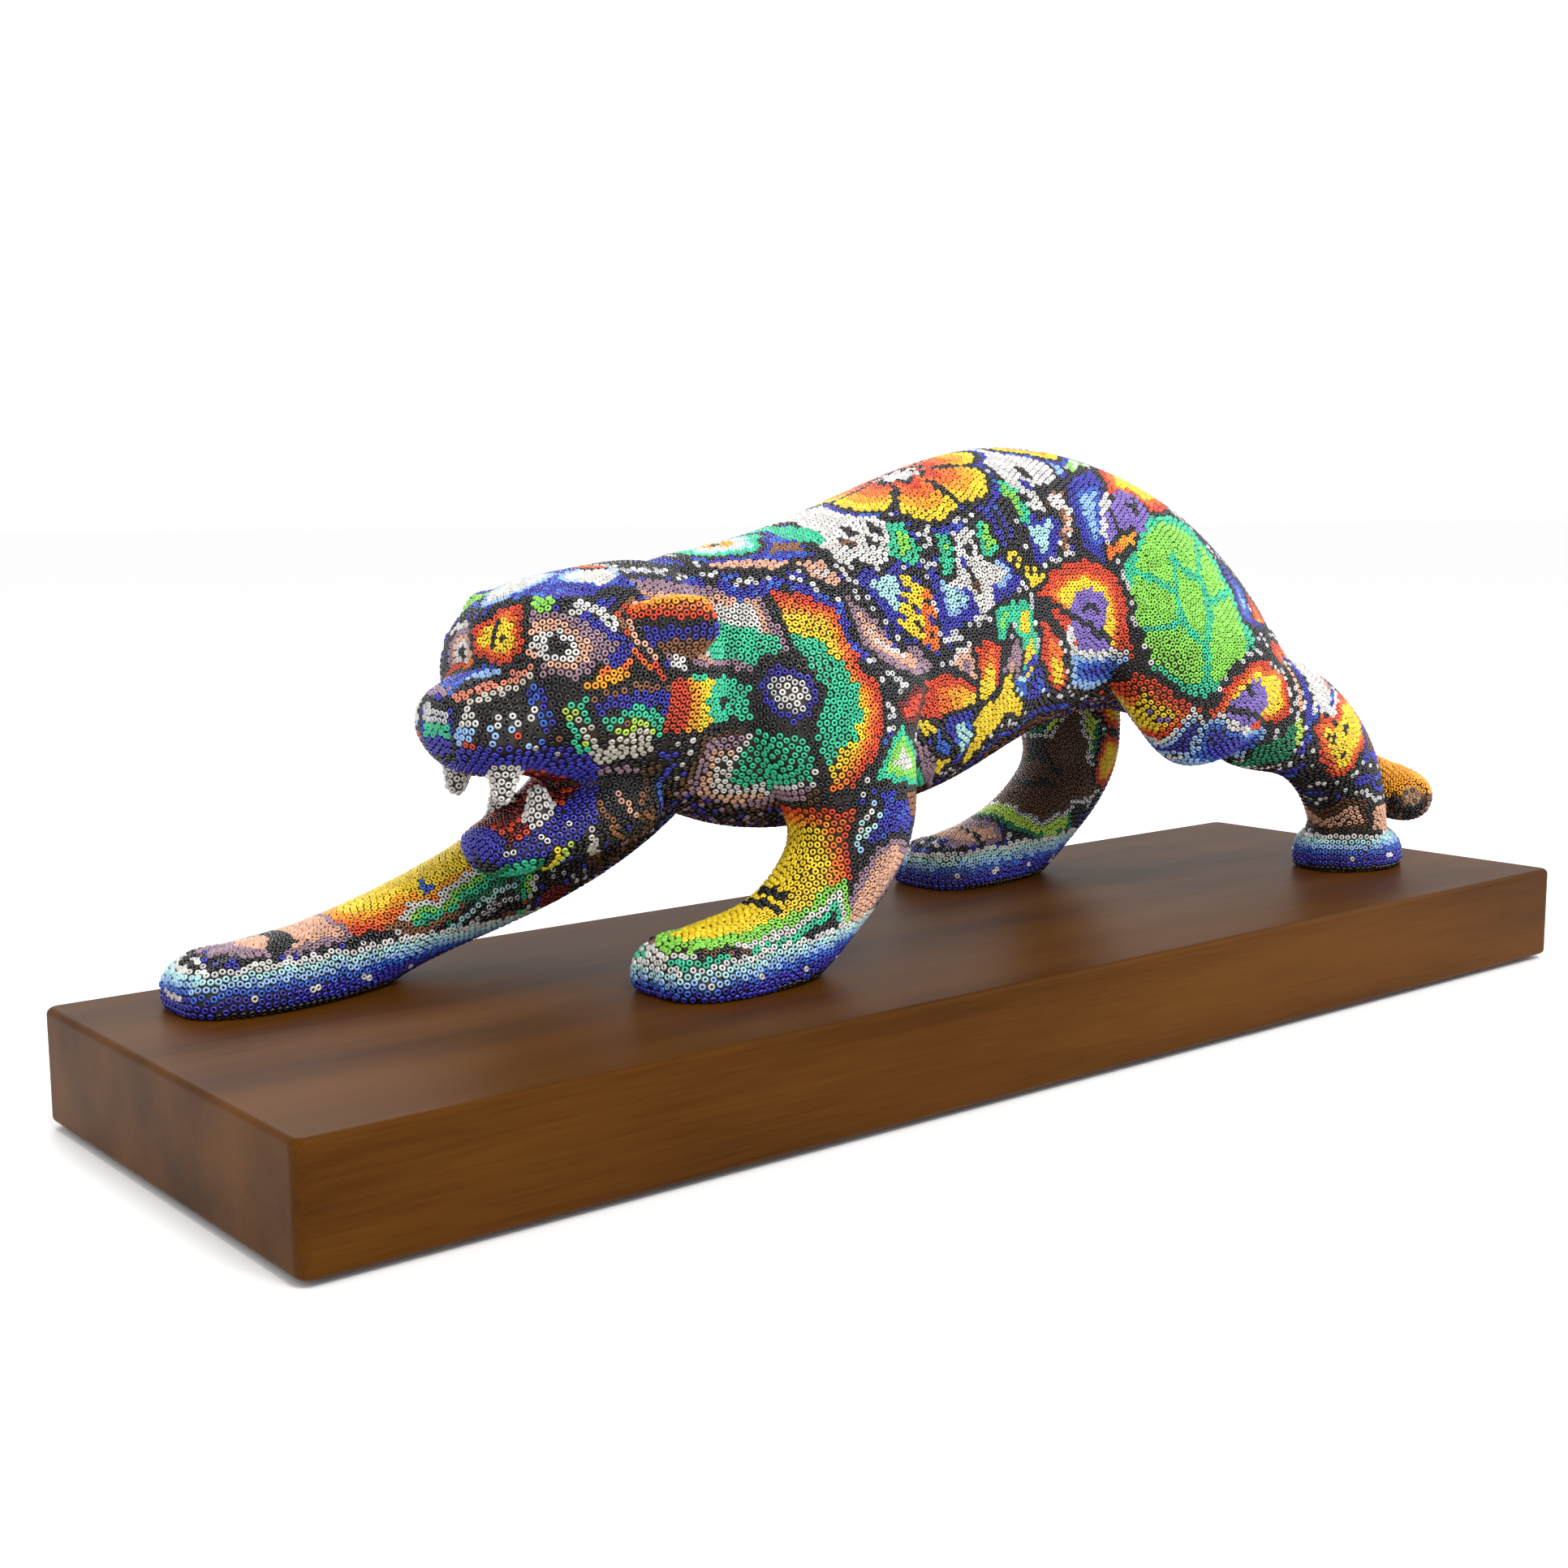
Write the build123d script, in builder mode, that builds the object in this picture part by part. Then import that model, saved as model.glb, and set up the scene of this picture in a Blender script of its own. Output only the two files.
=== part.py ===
from build123d import *

import os
from math import cos, pi, radians, sin, sqrt

# A stalking big cat: wooden cores pegged together, coated with beeswax and glass beads, screwed to a plinth.
# Millimetres. +Z is up, the cat looks along -X, and the origin is under the middle of the plinth.

# Driving dimensions
plinth_length = 380.0
plinth_width = 118.0
plinth_thickness = 24.4
plinth_corner = 3.0
plinth_edge = 1.5
felt_thickness = 1.0
felt_diameter = 20.0
felt_inset = 17.0
skin = 2.2  # the beeswax coat with the beads pressed into it
mid_y = 8.0  # the figure stands a little behind the middle of the plinth
peg_diameter = 8.0
peg_length = 24.0
neck_peg_diameter = 14.0
neck_peg_length = 34.0
tail_peg_diameter = 5.0
tail_peg_length = 20.0
ear_peg_diameter = 2.0
ear_peg_length = 8.0
screw_diameter = 4.0
screw_head_diameter = 8.0
screw_head_height = 2.4
screw_bite = 7.0  # how far a screw runs into a paw
screw_slot = 1.2
washer_diameter = 10.0
washer_thickness = 1.0
counterbore_diameter = 12.0
counterbore_depth = 8.0
section_points = 8

top_z = felt_thickness + plinth_thickness  # the upper face of the plinth, where the paws stand

# Stations down each carved form: x, y, z, tilt of its axis above +X in degrees, half depth, half width.
torso_stations = [
    (-74.0, mid_y, 87.0, 0.0, 23.5, 22.5),
    (-58.0, mid_y, 87.0, 0.0, 28.0, 28.5),
    (-38.0, mid_y, 87.5, 0.0, 31.5, 32.5),
    (-16.0, mid_y, 91.5, 0.0, 34.5, 32.0),
    (8.0, mid_y, 97.5, 0.0, 36.5, 31.0),
    (32.0, mid_y, 104.0, 0.0, 34.5, 29.5),
    (56.0, mid_y, 106.0, 0.0, 30.5, 30.0),
    (80.0, mid_y, 101.5, -5.0, 26.0, 30.0),
    (100.0, mid_y, 92.5, -20.0, 21.0, 26.0),
    (116.0, mid_y, 84.5, -32.0, 17.0, 20.0),
]
torso_end = 18.0
skull_stations = [
    (-54.0, mid_y, 87.0, 180.0, 23.0, 21.0),
    (-68.0, mid_y, 88.0, 180.0, 23.5, 22.5),
    (-82.0, mid_y, 90.0, 180.0, 22.5, 26.0),
    (-96.0, mid_y, 91.0, 180.0, 19.5, 25.0),
    (-107.0, mid_y, 91.0, 180.0, 16.5, 22.5),
]
skull_end = 6.0
muzzle_stations = [
    (-94.0, mid_y, 86.0, 180.0, 10.5, 20.0),
    (-102.0, mid_y, 85.0, 180.0, 10.0, 19.5),
    (-110.0, mid_y, 84.0, 180.0, 9.5, 17.5),
    (-117.0, mid_y, 82.5, 180.0, 8.0, 14.5),
]
jaw_stations = [
    (-80.0, mid_y, 68.0, 192.0, 10.0, 14.0),
    (-90.0, mid_y, 63.5, 196.0, 8.0, 14.0),
    (-100.0, mid_y, 59.0, 196.0, 5.0, 13.0),
    (-109.0, mid_y, 56.5, 190.0, 3.6, 10.5),
]
snout_end = 5.0
ear_stations = [
    (-90.0, 27.5, 98.5, 20.0, 4.2, 2.8),
    (-85.5, 31.0, 100.5, 20.0, 5.2, 3.0),
    (-81.0, 34.0, 102.3, 20.0, 4.4, 2.5),
    (-76.5, 36.5, 104.0, 20.0, 2.2, 1.4),
]
front_left_leg = [
    (-40.0, -14.0, 96.0, -90.0, 20.0, 10.0),
    (-41.0, -18.0, 82.0, -90.0, 21.0, 12.0),
    (-39.0, -19.0, 67.0, -92.0, 16.0, 11.0),
    (-37.5, -19.0, 54.0, -104.0, 12.0, 10.0),
    (-43.5, -19.0, 44.0, -125.0, 9.5, 9.0),
    (-52.0, -19.0, 36.5, -142.0, 8.5, 9.5),
    (-62.0, -18.5, 31.0, -162.0, 8.5, 11.0),
    (-73.0, -18.0, 28.5, -176.0, 8.5, 12.0),
    (-83.0, -18.0, 28.0, -180.0, 7.0, 11.0),
]
front_right_leg = [
    (-44.0, 30.0, 90.0, -110.0, 20.0, 10.0),
    (-54.0, 34.0, 74.0, -128.0, 17.0, 11.5),
    (-70.0, 35.0, 58.5, -145.0, 13.0, 10.5),
    (-89.0, 35.0, 47.5, -155.0, 9.5, 9.5),
    (-108.0, 35.0, 40.5, -160.0, 7.5, 8.5),
    (-125.0, 35.0, 35.0, -163.0, 7.0, 9.0),
    (-140.0, 34.5, 30.5, -170.0, 7.5, 11.0),
    (-154.0, 34.0, 28.5, -177.0, 7.5, 12.0),
    (-165.0, 34.0, 28.0, -180.0, 6.5, 10.5),
]
hind_left_thigh = [
    (76.0, -12.0, 105.0, -88.0, 24.0, 10.0),
    (76.0, -18.0, 92.0, -80.0, 25.0, 12.0),
    (87.0, -20.0, 79.0, -62.0, 22.0, 12.0),
]
thigh_end = 14.0
hind_left_shank = [
    (94.0, -20.0, 78.0, -24.0, 11.0, 8.0),
    (107.0, -20.0, 72.5, -24.0, 13.5, 10.5),
    (122.0, -20.0, 68.0, -32.0, 12.5, 10.5),
    (137.5, -20.0, 58.0, -55.0, 10.5, 9.5),
    (148.0, -19.0, 44.0, -78.0, 8.5, 8.5),
    (151.0, -19.0, 29.0, -88.0, 8.2, 8.5),
]
hind_right_leg = [
    (88.0, 30.0, 104.0, -84.0, 24.0, 10.0),
    (89.0, 36.0, 87.0, -90.0, 21.0, 11.5),
    (94.0, 38.0, 70.0, -92.0, 15.5, 11.0),
    (96.0, 38.0, 55.5, -108.0, 11.5, 10.0),
    (88.0, 38.0, 44.5, -128.0, 9.5, 9.5),
    (77.0, 38.0, 36.5, -146.0, 9.0, 10.0),
    (65.0, 38.0, 31.0, -166.0, 9.0, 11.0),
    (53.0, 38.0, 28.5, -178.0, 8.5, 11.5),
    (43.0, 38.0, 28.0, -180.0, 7.0, 10.5),
]
toe_end = 5.0
# The upright hind paw: its middle on the plinth, half length, half width, height and top rounding.
upright_paw = (153.5, -17.0, 14.5, 11.0, 8.5, 7.0)
# The tail's path, and its radius at the root and at the tip.
tail_path = [
    (124.0, mid_y, 90.0),
    (143.0, mid_y, 78.0),
    (157.0, 5.0, 62.0),
    (165.5, -6.0, 50.5),
    (167.5, -19.0, 46.0),
    (161.0, -32.5, 46.0),
]
tail_root_radius = 8.0
tail_tip_radius = 4.8
# Fangs: where the root is, how far the tip is below it or above it, and how far the tip leans forwards.
fang_roots = {
    "upper_left_fang": (-114.0, mid_y - 9.3, 78.0, -11.0, 1.5),
    "upper_right_fang": (-114.0, mid_y + 9.3, 78.0, -11.0, 1.5),
    "lower_left_fang": (-105.0, mid_y - 7.3, 57.5, 12.0, 0.5),
    "lower_right_fang": (-105.0, mid_y + 7.3, 57.5, 12.0, 0.5),
}
fang_root_radius = 4.4
fang_tip_radius = 1.6


def oval(half_width, half_depth):
    """Points round an ellipse, to run a closed spline through."""
    turns = [2 * pi * k / section_points for k in range(section_points)]
    return [(half_width * cos(a), half_depth * sin(a)) for a in turns]


def lofted(sections):
    """A body lofted through oval sections, each a plane with a half width and a half depth."""
    with BuildPart() as body:
        for plane, half_width, half_depth in sections:
            with BuildSketch(plane):
                with BuildLine():
                    Spline(*oval(half_width, half_depth), periodic=True)
                make_face()
        loft()
    return body.part


def rounded_end(station, length):
    """Two more stations that round a form off beyond its last one."""
    x, y, z, tilt, half_depth, half_width = station
    for share in (0.6, 0.95):
        shrink = sqrt(1 - share * share)
        reach = length * share
        step = (reach * cos(radians(tilt)), reach * sin(radians(tilt)))
        yield (x + step[0], y, z + step[1], tilt, half_depth * shrink, half_width * shrink)


def form(stations, grow=0.0, end=0.0):
    """A carved form through its stations, grown outwards where asked."""
    grown = [(*s[:4], s[4] + grow, s[5] + grow) for s in stations]
    if end:
        grown += list(rounded_end(grown[-1], end + grow))
    sections = []
    for x, y, z, tilt, half_depth, half_width in grown:
        axis = (cos(radians(tilt)), 0, sin(radians(tilt)))
        sections.append((Plane((x, y, z), x_dir=(0, 1, 0), z_dir=axis), half_width, half_depth))
    return lofted(sections)


def tail(grow):
    """The tail, lofted along its curled path."""
    with BuildLine() as path:
        Spline(*tail_path)
    curve = path.line
    sections = []
    for share in (0, 0.13, 0.26, 0.39, 0.52, 0.65, 0.78, 0.9, 1.0):
        along = curve % share
        radius = tail_root_radius + (tail_tip_radius - tail_root_radius) * share + grow
        radius *= 1.0 if share < 0.95 else 0.6
        sections.append((Plane(curve @ share, x_dir=Vector(0, 0, 1).cross(along), z_dir=along), radius, radius))
    return lofted(sections)


def upright_leg(grow):
    """The hind leg that stands upright, its paw reaching both ways from the ankle."""
    x, y, half_length, half_width, height, rounding = upright_paw
    with BuildPart() as body:
        with BuildSketch(Plane((x, y, top_z))):
            Ellipse(half_length + grow, half_width + grow)
        extrude(amount=height + grow)
        fillet(body.faces().sort_by(Axis.Z)[-1].edges(), rounding)
        add(form(hind_left_thigh, grow, thigh_end))
        add(form(hind_left_shank, grow))
    return body.part


def mirrored(stations):
    """The same stations on the other side of the cat's middle plane."""
    return [(s[0], 2 * mid_y - s[1], *s[2:]) for s in stations]


def standing(shape):
    """What is left of a shape above the plinth."""
    with BuildPart() as body:
        add(shape)
        split(bisect_by=Plane((0, 0, top_z)), keep=Keep.TOP)
    return body.part


def head(grow):
    """Skull, muzzle and lower jaw carved as one, with the mouth left open between them."""
    with BuildPart() as body:
        add(form(skull_stations, grow, skull_end))
        add(form(muzzle_stations, grow, snout_end))
        add(form(jaw_stations, grow, snout_end))
    return body.part


def peg(middle, direction, diameter, length):
    """A round peg centred on a point."""
    with BuildPart(Plane(middle, z_dir=direction)) as body:
        Cylinder(diameter / 2, length)
    return body.part


def cone_between(root, drop, lean):
    """A fang: a cone with a rounded tip, its root buried in the jaw."""
    tip = (root[0] - lean, root[1], root[2] + drop)
    with BuildPart() as body:
        with BuildSketch(Plane(root, z_dir=(-lean, 0, drop))):
            Circle(fang_root_radius)
        with BuildSketch(Plane(tip, z_dir=(-lean, 0, drop))):
            Circle(fang_tip_radius)
        loft()
        fillet(body.faces().sort_by_distance(tip)[0].edges(), fang_tip_radius * 0.7)
    return body.part


def less(shape, cutters):
    """A shape with others cut away, skipping those that do not come near it."""
    box = shape.bounding_box()
    for cutter in cutters:
        other = cutter.bounding_box()
        apart = any(
            getattr(box.max, a) < getattr(other.min, a) or getattr(other.max, a) < getattr(box.min, a)
            for a in "XYZ"
        )
        if not apart:
            shape = shape - cutter
    return shape


def save(name, shape):
    with BuildPart() as node:
        add(shape)
    node.part.label = name
    export_step(node.part, f"parts/{name}.step")


os.makedirs("parts", exist_ok=True)

# Every body as bare wood and again with its bead coat, the ones that stay whole first.
bodies = {
    "torso": (form(torso_stations, 0, torso_end), form(torso_stations, skin, torso_end)),
    "head": (head(0), head(skin)),
    "front_left_leg": [form(front_left_leg, g, toe_end) for g in (0, skin)],
    "front_right_leg": [form(front_right_leg, g, toe_end) for g in (0, skin)],
    "hind_left_leg": [upright_leg(g) for g in (0, skin)],
    "hind_right_leg": [form(hind_right_leg, g, toe_end) for g in (0, skin)],
    "tail": (tail(0), tail(skin)),
    "right_ear": (form(ear_stations), form(ear_stations, skin)),
    "left_ear": (form(mirrored(ear_stations)), form(mirrored(ear_stations), skin)),
}
cores = {name: shapes[0] for name, shapes in bodies.items()}
coats = {name: shapes[1] for name, shapes in bodies.items()}

# For each body, the touching ones that it gives way to, and the ones that give way to it.
front = ["front_left_leg", "front_right_leg"]
hind = ["hind_left_leg", "hind_right_leg"]
ears = ["left_ear", "right_ear"]
neighbours = {
    "torso": ([], ["head", *front, *hind, "tail"]),
    "head": (["torso"], ["front_right_leg", *ears]),
    "front_left_leg": (["torso"], []),
    "front_right_leg": (["torso", "head"], []),
    "hind_left_leg": (["torso"], []),
    "hind_right_leg": (["torso"], []),
    "tail": (["torso"], []),
    "left_ear": (["head"], []),
    "right_ear": (["head"], []),
}

# The pegs that join the cores, and the fangs let into the jaws.
leg_pegs = [
    peg((-42.0, -13.0, 84.0), (0, 1, 0), peg_diameter, peg_length),
    peg((-50.0, 29.0, 82.0), (0, 1, 0), peg_diameter, peg_length),
    peg((80.0, -12.0, 96.0), (0, 1, 0), peg_diameter, peg_length),
    peg((88.0, 28.0, 94.0), (0, 1, 0), peg_diameter, peg_length),
]
neck_peg = peg((-74.0, mid_y, 88.0), (1, 0, 0), neck_peg_diameter, neck_peg_length)
tail_peg = peg((134.0, mid_y, 85.0), (cos(radians(32)), 0, -sin(radians(32))), tail_peg_diameter, tail_peg_length)
ear_pegs = [
    peg((-88.0, 25.5, 98.5), (3, 2, 1), ear_peg_diameter, ear_peg_length),
    peg((-88.0, 2 * mid_y - 25.5, 98.5), (3, -2, 1), ear_peg_diameter, ear_peg_length),
]
fangs = {name: cone_between(r[:3], r[3], r[4]) for name, r in fang_roots.items()}
pegs = leg_pegs + [neck_peg, tail_peg] + ear_pegs

screw_spots = [(-74.0, -18.0), (-148.0, 34.0), (152.0, -16.0), (58.0, 38.0)]
screw_tip_z = top_z + screw_bite
washer_z = felt_thickness + counterbore_depth - washer_thickness

with BuildPart() as paw_screws:
    for x, y in screw_spots:
        with Locations((x, y, washer_z - screw_head_height)):
            Cylinder(screw_head_diameter / 2, screw_head_height, align=(Align.CENTER, Align.CENTER, Align.MIN))
            Box(screw_head_diameter, screw_slot, screw_slot, mode=Mode.SUBTRACT)
            Cylinder(screw_diameter / 2, screw_tip_z - washer_z + screw_head_height,
                     align=(Align.CENTER, Align.CENTER, Align.MIN))
save("paw_screws", paw_screws.part)

with BuildPart() as paw_washers:
    for x, y in screw_spots:
        with Locations((x, y, washer_z)):
            Cylinder(washer_diameter / 2, washer_thickness, align=(Align.CENTER, Align.CENTER, Align.MIN))
            Cylinder(screw_diameter / 2, washer_thickness, mode=Mode.SUBTRACT,
                     align=(Align.CENTER, Align.CENTER, Align.MIN))
save("paw_washers", paw_washers.part)

with BuildPart() as plinth_board:
    with BuildSketch(Plane.XY.offset(felt_thickness)):
        RectangleRounded(plinth_length, plinth_width, plinth_corner)
    extrude(amount=plinth_thickness)
    fillet(plinth_board.faces().sort_by(Axis.Z)[-1].edges(), plinth_edge)
    fillet(plinth_board.faces().sort_by(Axis.Z)[0].edges(), plinth_edge)
    with Locations([(x, y, felt_thickness) for x, y in screw_spots]):
        Cylinder(counterbore_diameter / 2, counterbore_depth, mode=Mode.SUBTRACT,
                 align=(Align.CENTER, Align.CENTER, Align.MIN))
        Cylinder(screw_diameter / 2, plinth_thickness, mode=Mode.SUBTRACT,
                 align=(Align.CENTER, Align.CENTER, Align.MIN))
save("plinth_board", plinth_board.part)

with BuildPart() as felt_pads:
    spread_x, spread_y = plinth_length - 2 * felt_inset, plinth_width - 2 * felt_inset
    with GridLocations(spread_x, spread_y, 2, 2):
        Cylinder(felt_diameter / 2, felt_thickness, align=(Align.CENTER, Align.CENTER, Align.MIN))
save("felt_pads", felt_pads.part)

save("leg_pegs", Compound(children=leg_pegs))
save("neck_peg", neck_peg)
save("tail_peg", tail_peg)
save("ear_pegs", Compound(children=ear_pegs))
for name, fang in fangs.items():
    save(name, fang)

# A core gives way to the bodies before it; a coat gives way to their coats, its own core and later cores.
fittings = pegs + [paw_screws.part]
for name, (earlier, later) in neighbours.items():
    let_in = list(fangs.values()) if name == "head" else []
    core = less(cores[name], let_in + [cores[n] for n in earlier] + fittings)
    save(name + "_core", standing(core))
    coat = less(coats[name], let_in + [cores[n] for n in [name] + later] + [coats[n] for n in earlier])
    save(name + "_beads", standing(coat))
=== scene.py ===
import math
import bmesh
import bpy
import numpy as np
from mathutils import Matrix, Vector
from mathutils.bvhtree import BVHTree
from mathutils.kdtree import KDTree


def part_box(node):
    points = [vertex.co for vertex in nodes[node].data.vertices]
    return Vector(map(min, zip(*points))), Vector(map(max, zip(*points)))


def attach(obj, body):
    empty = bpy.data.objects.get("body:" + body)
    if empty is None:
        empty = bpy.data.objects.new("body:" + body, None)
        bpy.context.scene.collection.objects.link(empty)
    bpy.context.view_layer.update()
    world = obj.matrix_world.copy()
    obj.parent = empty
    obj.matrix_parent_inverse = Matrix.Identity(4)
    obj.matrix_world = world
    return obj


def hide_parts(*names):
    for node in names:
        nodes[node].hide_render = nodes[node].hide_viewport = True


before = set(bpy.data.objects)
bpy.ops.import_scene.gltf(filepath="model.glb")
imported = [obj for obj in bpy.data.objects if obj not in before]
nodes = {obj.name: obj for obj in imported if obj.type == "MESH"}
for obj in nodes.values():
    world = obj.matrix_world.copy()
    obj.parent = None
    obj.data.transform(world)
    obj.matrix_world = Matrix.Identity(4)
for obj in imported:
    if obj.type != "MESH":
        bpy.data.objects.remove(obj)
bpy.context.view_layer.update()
rng = np.random.default_rng(11)

# Lengths below are in millimetres, and are scaled to metres when a mesh is made.
MM = 0.001
MID = 8.0          # the cat's middle plane, in y
TOP = 25.4         # the plinth's upper face
VOXEL = 1.1        # of the skin that the beads lie on
PITCH = 1.62       # between neighbouring beads
LOWEST = 0.95      # no bead's middle is closer to the plinth
ROUNDS = 28        # of pushing the beads apart
RADIUS = 0.52      # of a bead's ring
THICK = 0.26       # half the ring's width
TALL = 0.40        # half the ring's height
AROUND, ACROSS = 9, 4
WAX_DEPTH = 0.5    # the wax lies this far under the beads' middles
MOST_BEADS = 2700  # in one piece

BODIES = ["torso", "head", "left_ear", "right_ear", "front_left_leg", "front_right_leg",
          "hind_left_leg", "hind_right_leg", "tail"]
FANGS = ["upper_left_fang", "upper_right_fang", "lower_left_fang", "lower_right_fang"]
PEGS = ["neck_peg", "leg_pegs", "tail_peg", "ear_pegs"]

# ---------------------------------------------------------------- the skin


def joined(names):
    """One mesh of several CAD nodes, in millimetres."""
    bm = bmesh.new()
    for name in names:
        bm.from_mesh(nodes[name].data)
    bmesh.ops.remove_doubles(bm, verts=bm.verts, dist=1e-6)
    bmesh.ops.scale(bm, vec=(1000, 1000, 1000), verts=bm.verts)
    mesh = bpy.data.meshes.new("joined")
    bm.to_mesh(mesh)
    bm.free()
    return mesh


def remeshed(mesh, voxel):
    """The mesh made again as one closed surface of even squares."""
    obj = bpy.data.objects.new("remesh", mesh)
    bpy.context.scene.collection.objects.link(obj)
    mod = obj.modifiers.new("voxels", "REMESH")
    mod.mode = "VOXEL"
    mod.voxel_size = voxel
    depsgraph = bpy.context.evaluated_depsgraph_get()
    made = bpy.data.meshes.new_from_object(obj.evaluated_get(depsgraph))
    bpy.data.objects.remove(obj)
    return made


def read_mesh(mesh):
    """A mesh's vertices and triangles as arrays."""
    mesh.calc_loop_triangles()
    verts = np.empty(len(mesh.vertices) * 3)
    mesh.vertices.foreach_get("co", verts)
    tris = np.empty(len(mesh.loop_triangles) * 3, np.int64)
    mesh.loop_triangles.foreach_get("vertices", tris)
    return verts.reshape(-1, 3), tris.reshape(-1, 3)


def largest_part(verts, tris):
    """Drops closed pockets and crumbs, and keeps the biggest connected surface."""
    label = np.arange(len(verts))
    while True:
        low = label[tris].min(1)
        new = label.copy()
        for k in range(3):
            np.minimum.at(new, tris[:, k], low)
        new = new[new]
        if (new == label).all():
            break
        label = new
    keep = label == np.bincount(label).argmax()
    index = np.cumsum(keep) - 1
    return verts[keep], index[tris[keep[tris[:, 0]]]]


def unit(v):
    return v / np.maximum(np.linalg.norm(v, axis=-1, keepdims=True), 1e-12)


def face_normals(verts, tris):
    return np.cross(verts[tris[:, 1]] - verts[tris[:, 0]], verts[tris[:, 2]] - verts[tris[:, 0]])


def vertex_normals(verts, tris):
    total = np.zeros_like(verts)
    faces = face_normals(verts, tris)
    for k in range(3):
        for axis in range(3):
            total[:, axis] += np.bincount(tris[:, k], faces[:, axis], len(verts))
    return unit(total)


def smoothed(values, tris, rounds, weight=0.5, back=0.0):
    """Values at the vertices, averaged with their neighbours; back undoes the shrinking."""
    pairs = np.concatenate([tris[:, [0, 1]], tris[:, [1, 2]], tris[:, [2, 0]]])
    count = np.bincount(pairs[:, 0], minlength=len(values))[:, None]
    for step in [weight, -back] * rounds:
        if step:
            near = np.stack([np.bincount(pairs[:, 0], values[pairs[:, 1], k], len(values))
                             for k in range(3)], 1) / count
            values = values + step * (near - values)
    return values


# Pushes that shape the wax over the carved cores: centre, reach along x, y and z, and height.
# A push with y given is made on both sides of the middle plane.
PUSHES = [
    ((-105, 16, 107), (8, 6, 4), 1.8),      # brow
    ((-109, 20, 98.5), (5, 7, 4.5), -0.8),  # eye socket
    ((-109.5, 20, 99), (3.2, 4, 3.2), 1.2),  # eyeball
    ((-112, 0, 100), (6, 6, 9), 1.2),       # bridge of the nose
    ((-122, 0, 85), (5, 8, 5), 1.8),        # nose pad
    ((-116, 12, 81), (8, 7, 7), 2.2),       # whisker pads
    ((-96, 22, 82), (10, 8, 8), 1.6),       # cheeks
    ((-112, 0, 54), (6, 10, 5), 1.4),       # chin
    ((-86, 22, 98), (8, 6, 8), 1.0),        # ear root
    ((-48, 30, 88), (22, 14, 22), 1.8),     # shoulder
    ((70, 30, 98), (26, 14, 24), 1.8),      # thigh
]
PAWS = [(-91, -18), (-171, 34), (36, 38), (139, -17)]  # where each paw's toes end, and its middle in y


def sculpt(verts, tris):
    """Makes the pushes, and four toes on each paw."""
    for (x, y, z), reach, height in PUSHES:
        for side in ([-1, 1] if y else [0]):
            near = (verts - (x, MID + side * y, z)) / reach
            fall = np.clip(1 - (near ** 2).sum(1), 0, 1) ** 2
            verts = verts + vertex_normals(verts, tris) * (height * fall)[:, None]
    for x, y in PAWS:
        for toe in range(4):
            near = (verts - (x + 7, y + (toe - 1.5) * 5.2, 31)) / (9, 2.5, 8)
            fall = np.clip(1 - (near ** 2).sum(1), 0, 1)
            verts = verts + vertex_normals(verts, tris) * (1.3 * fall)[:, None]
    return verts


# ---------------------------------------------------------------- placing the beads


def seeds(mesh):
    """Points in even rows over the skin, close to where the beads will lie."""
    points, tris = read_mesh(remeshed(mesh, PITCH * 0.78))
    points = points[points[:, 2] > TOP + 0.8]
    kd = KDTree(len(points))
    for i, p in enumerate(points):
        kd.insert(p, i)
    kd.balance()
    kept = np.ones(len(points), bool)
    for i, p in enumerate(points):
        if kept[i]:
            for _, j, gap in kd.find_range(p, PITCH * 0.7):
                if j > i:
                    kept[j] = False
    return points[kept]


def on_surface(tree, normals, points):
    """The nearest surface points and their normals."""
    found = [tree.find_nearest(p) for p in points]
    face = np.array([f[2] for f in found])
    return np.array([f[0] for f in found]), normals[face]


def relax(points, tree, normals, rounds):
    """Beads push their neighbours away along the surface until they lie evenly."""
    reach = PITCH * 1.16
    points, facing = on_surface(tree, normals, points)
    for round_ in range(rounds):
        kd = KDTree(len(points))
        for i, p in enumerate(points):
            kd.insert(p, i)
        kd.balance()
        near = np.array([[n[1] for n in kd.find_n(p, 8)][1:] for p in points])
        apart = points[:, None] - points[near]
        gap = np.maximum(np.linalg.norm(apart, axis=2), 1e-6)
        same_side = (facing[:, None] * facing[near]).sum(2) > 0.1
        force = np.clip(reach - gap, 0, None) * same_side
        strength = 0.34 if round_ < rounds - 8 else 0.22
        move = (apart / gap[:, :, None] * force[:, :, None]).sum(1) * strength
        move -= facing * (move * facing).sum(1)[:, None]
        length = np.linalg.norm(move, axis=1, keepdims=True)
        move *= np.minimum(1, 0.9 / np.maximum(length, 1e-9))
        points = points + move
        points[:, 2] = np.maximum(points[:, 2], TOP + LOWEST)
        points, facing = on_surface(tree, normals, points)
    return points, facing


# ---------------------------------------------------------------- the pictures in the beads

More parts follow.
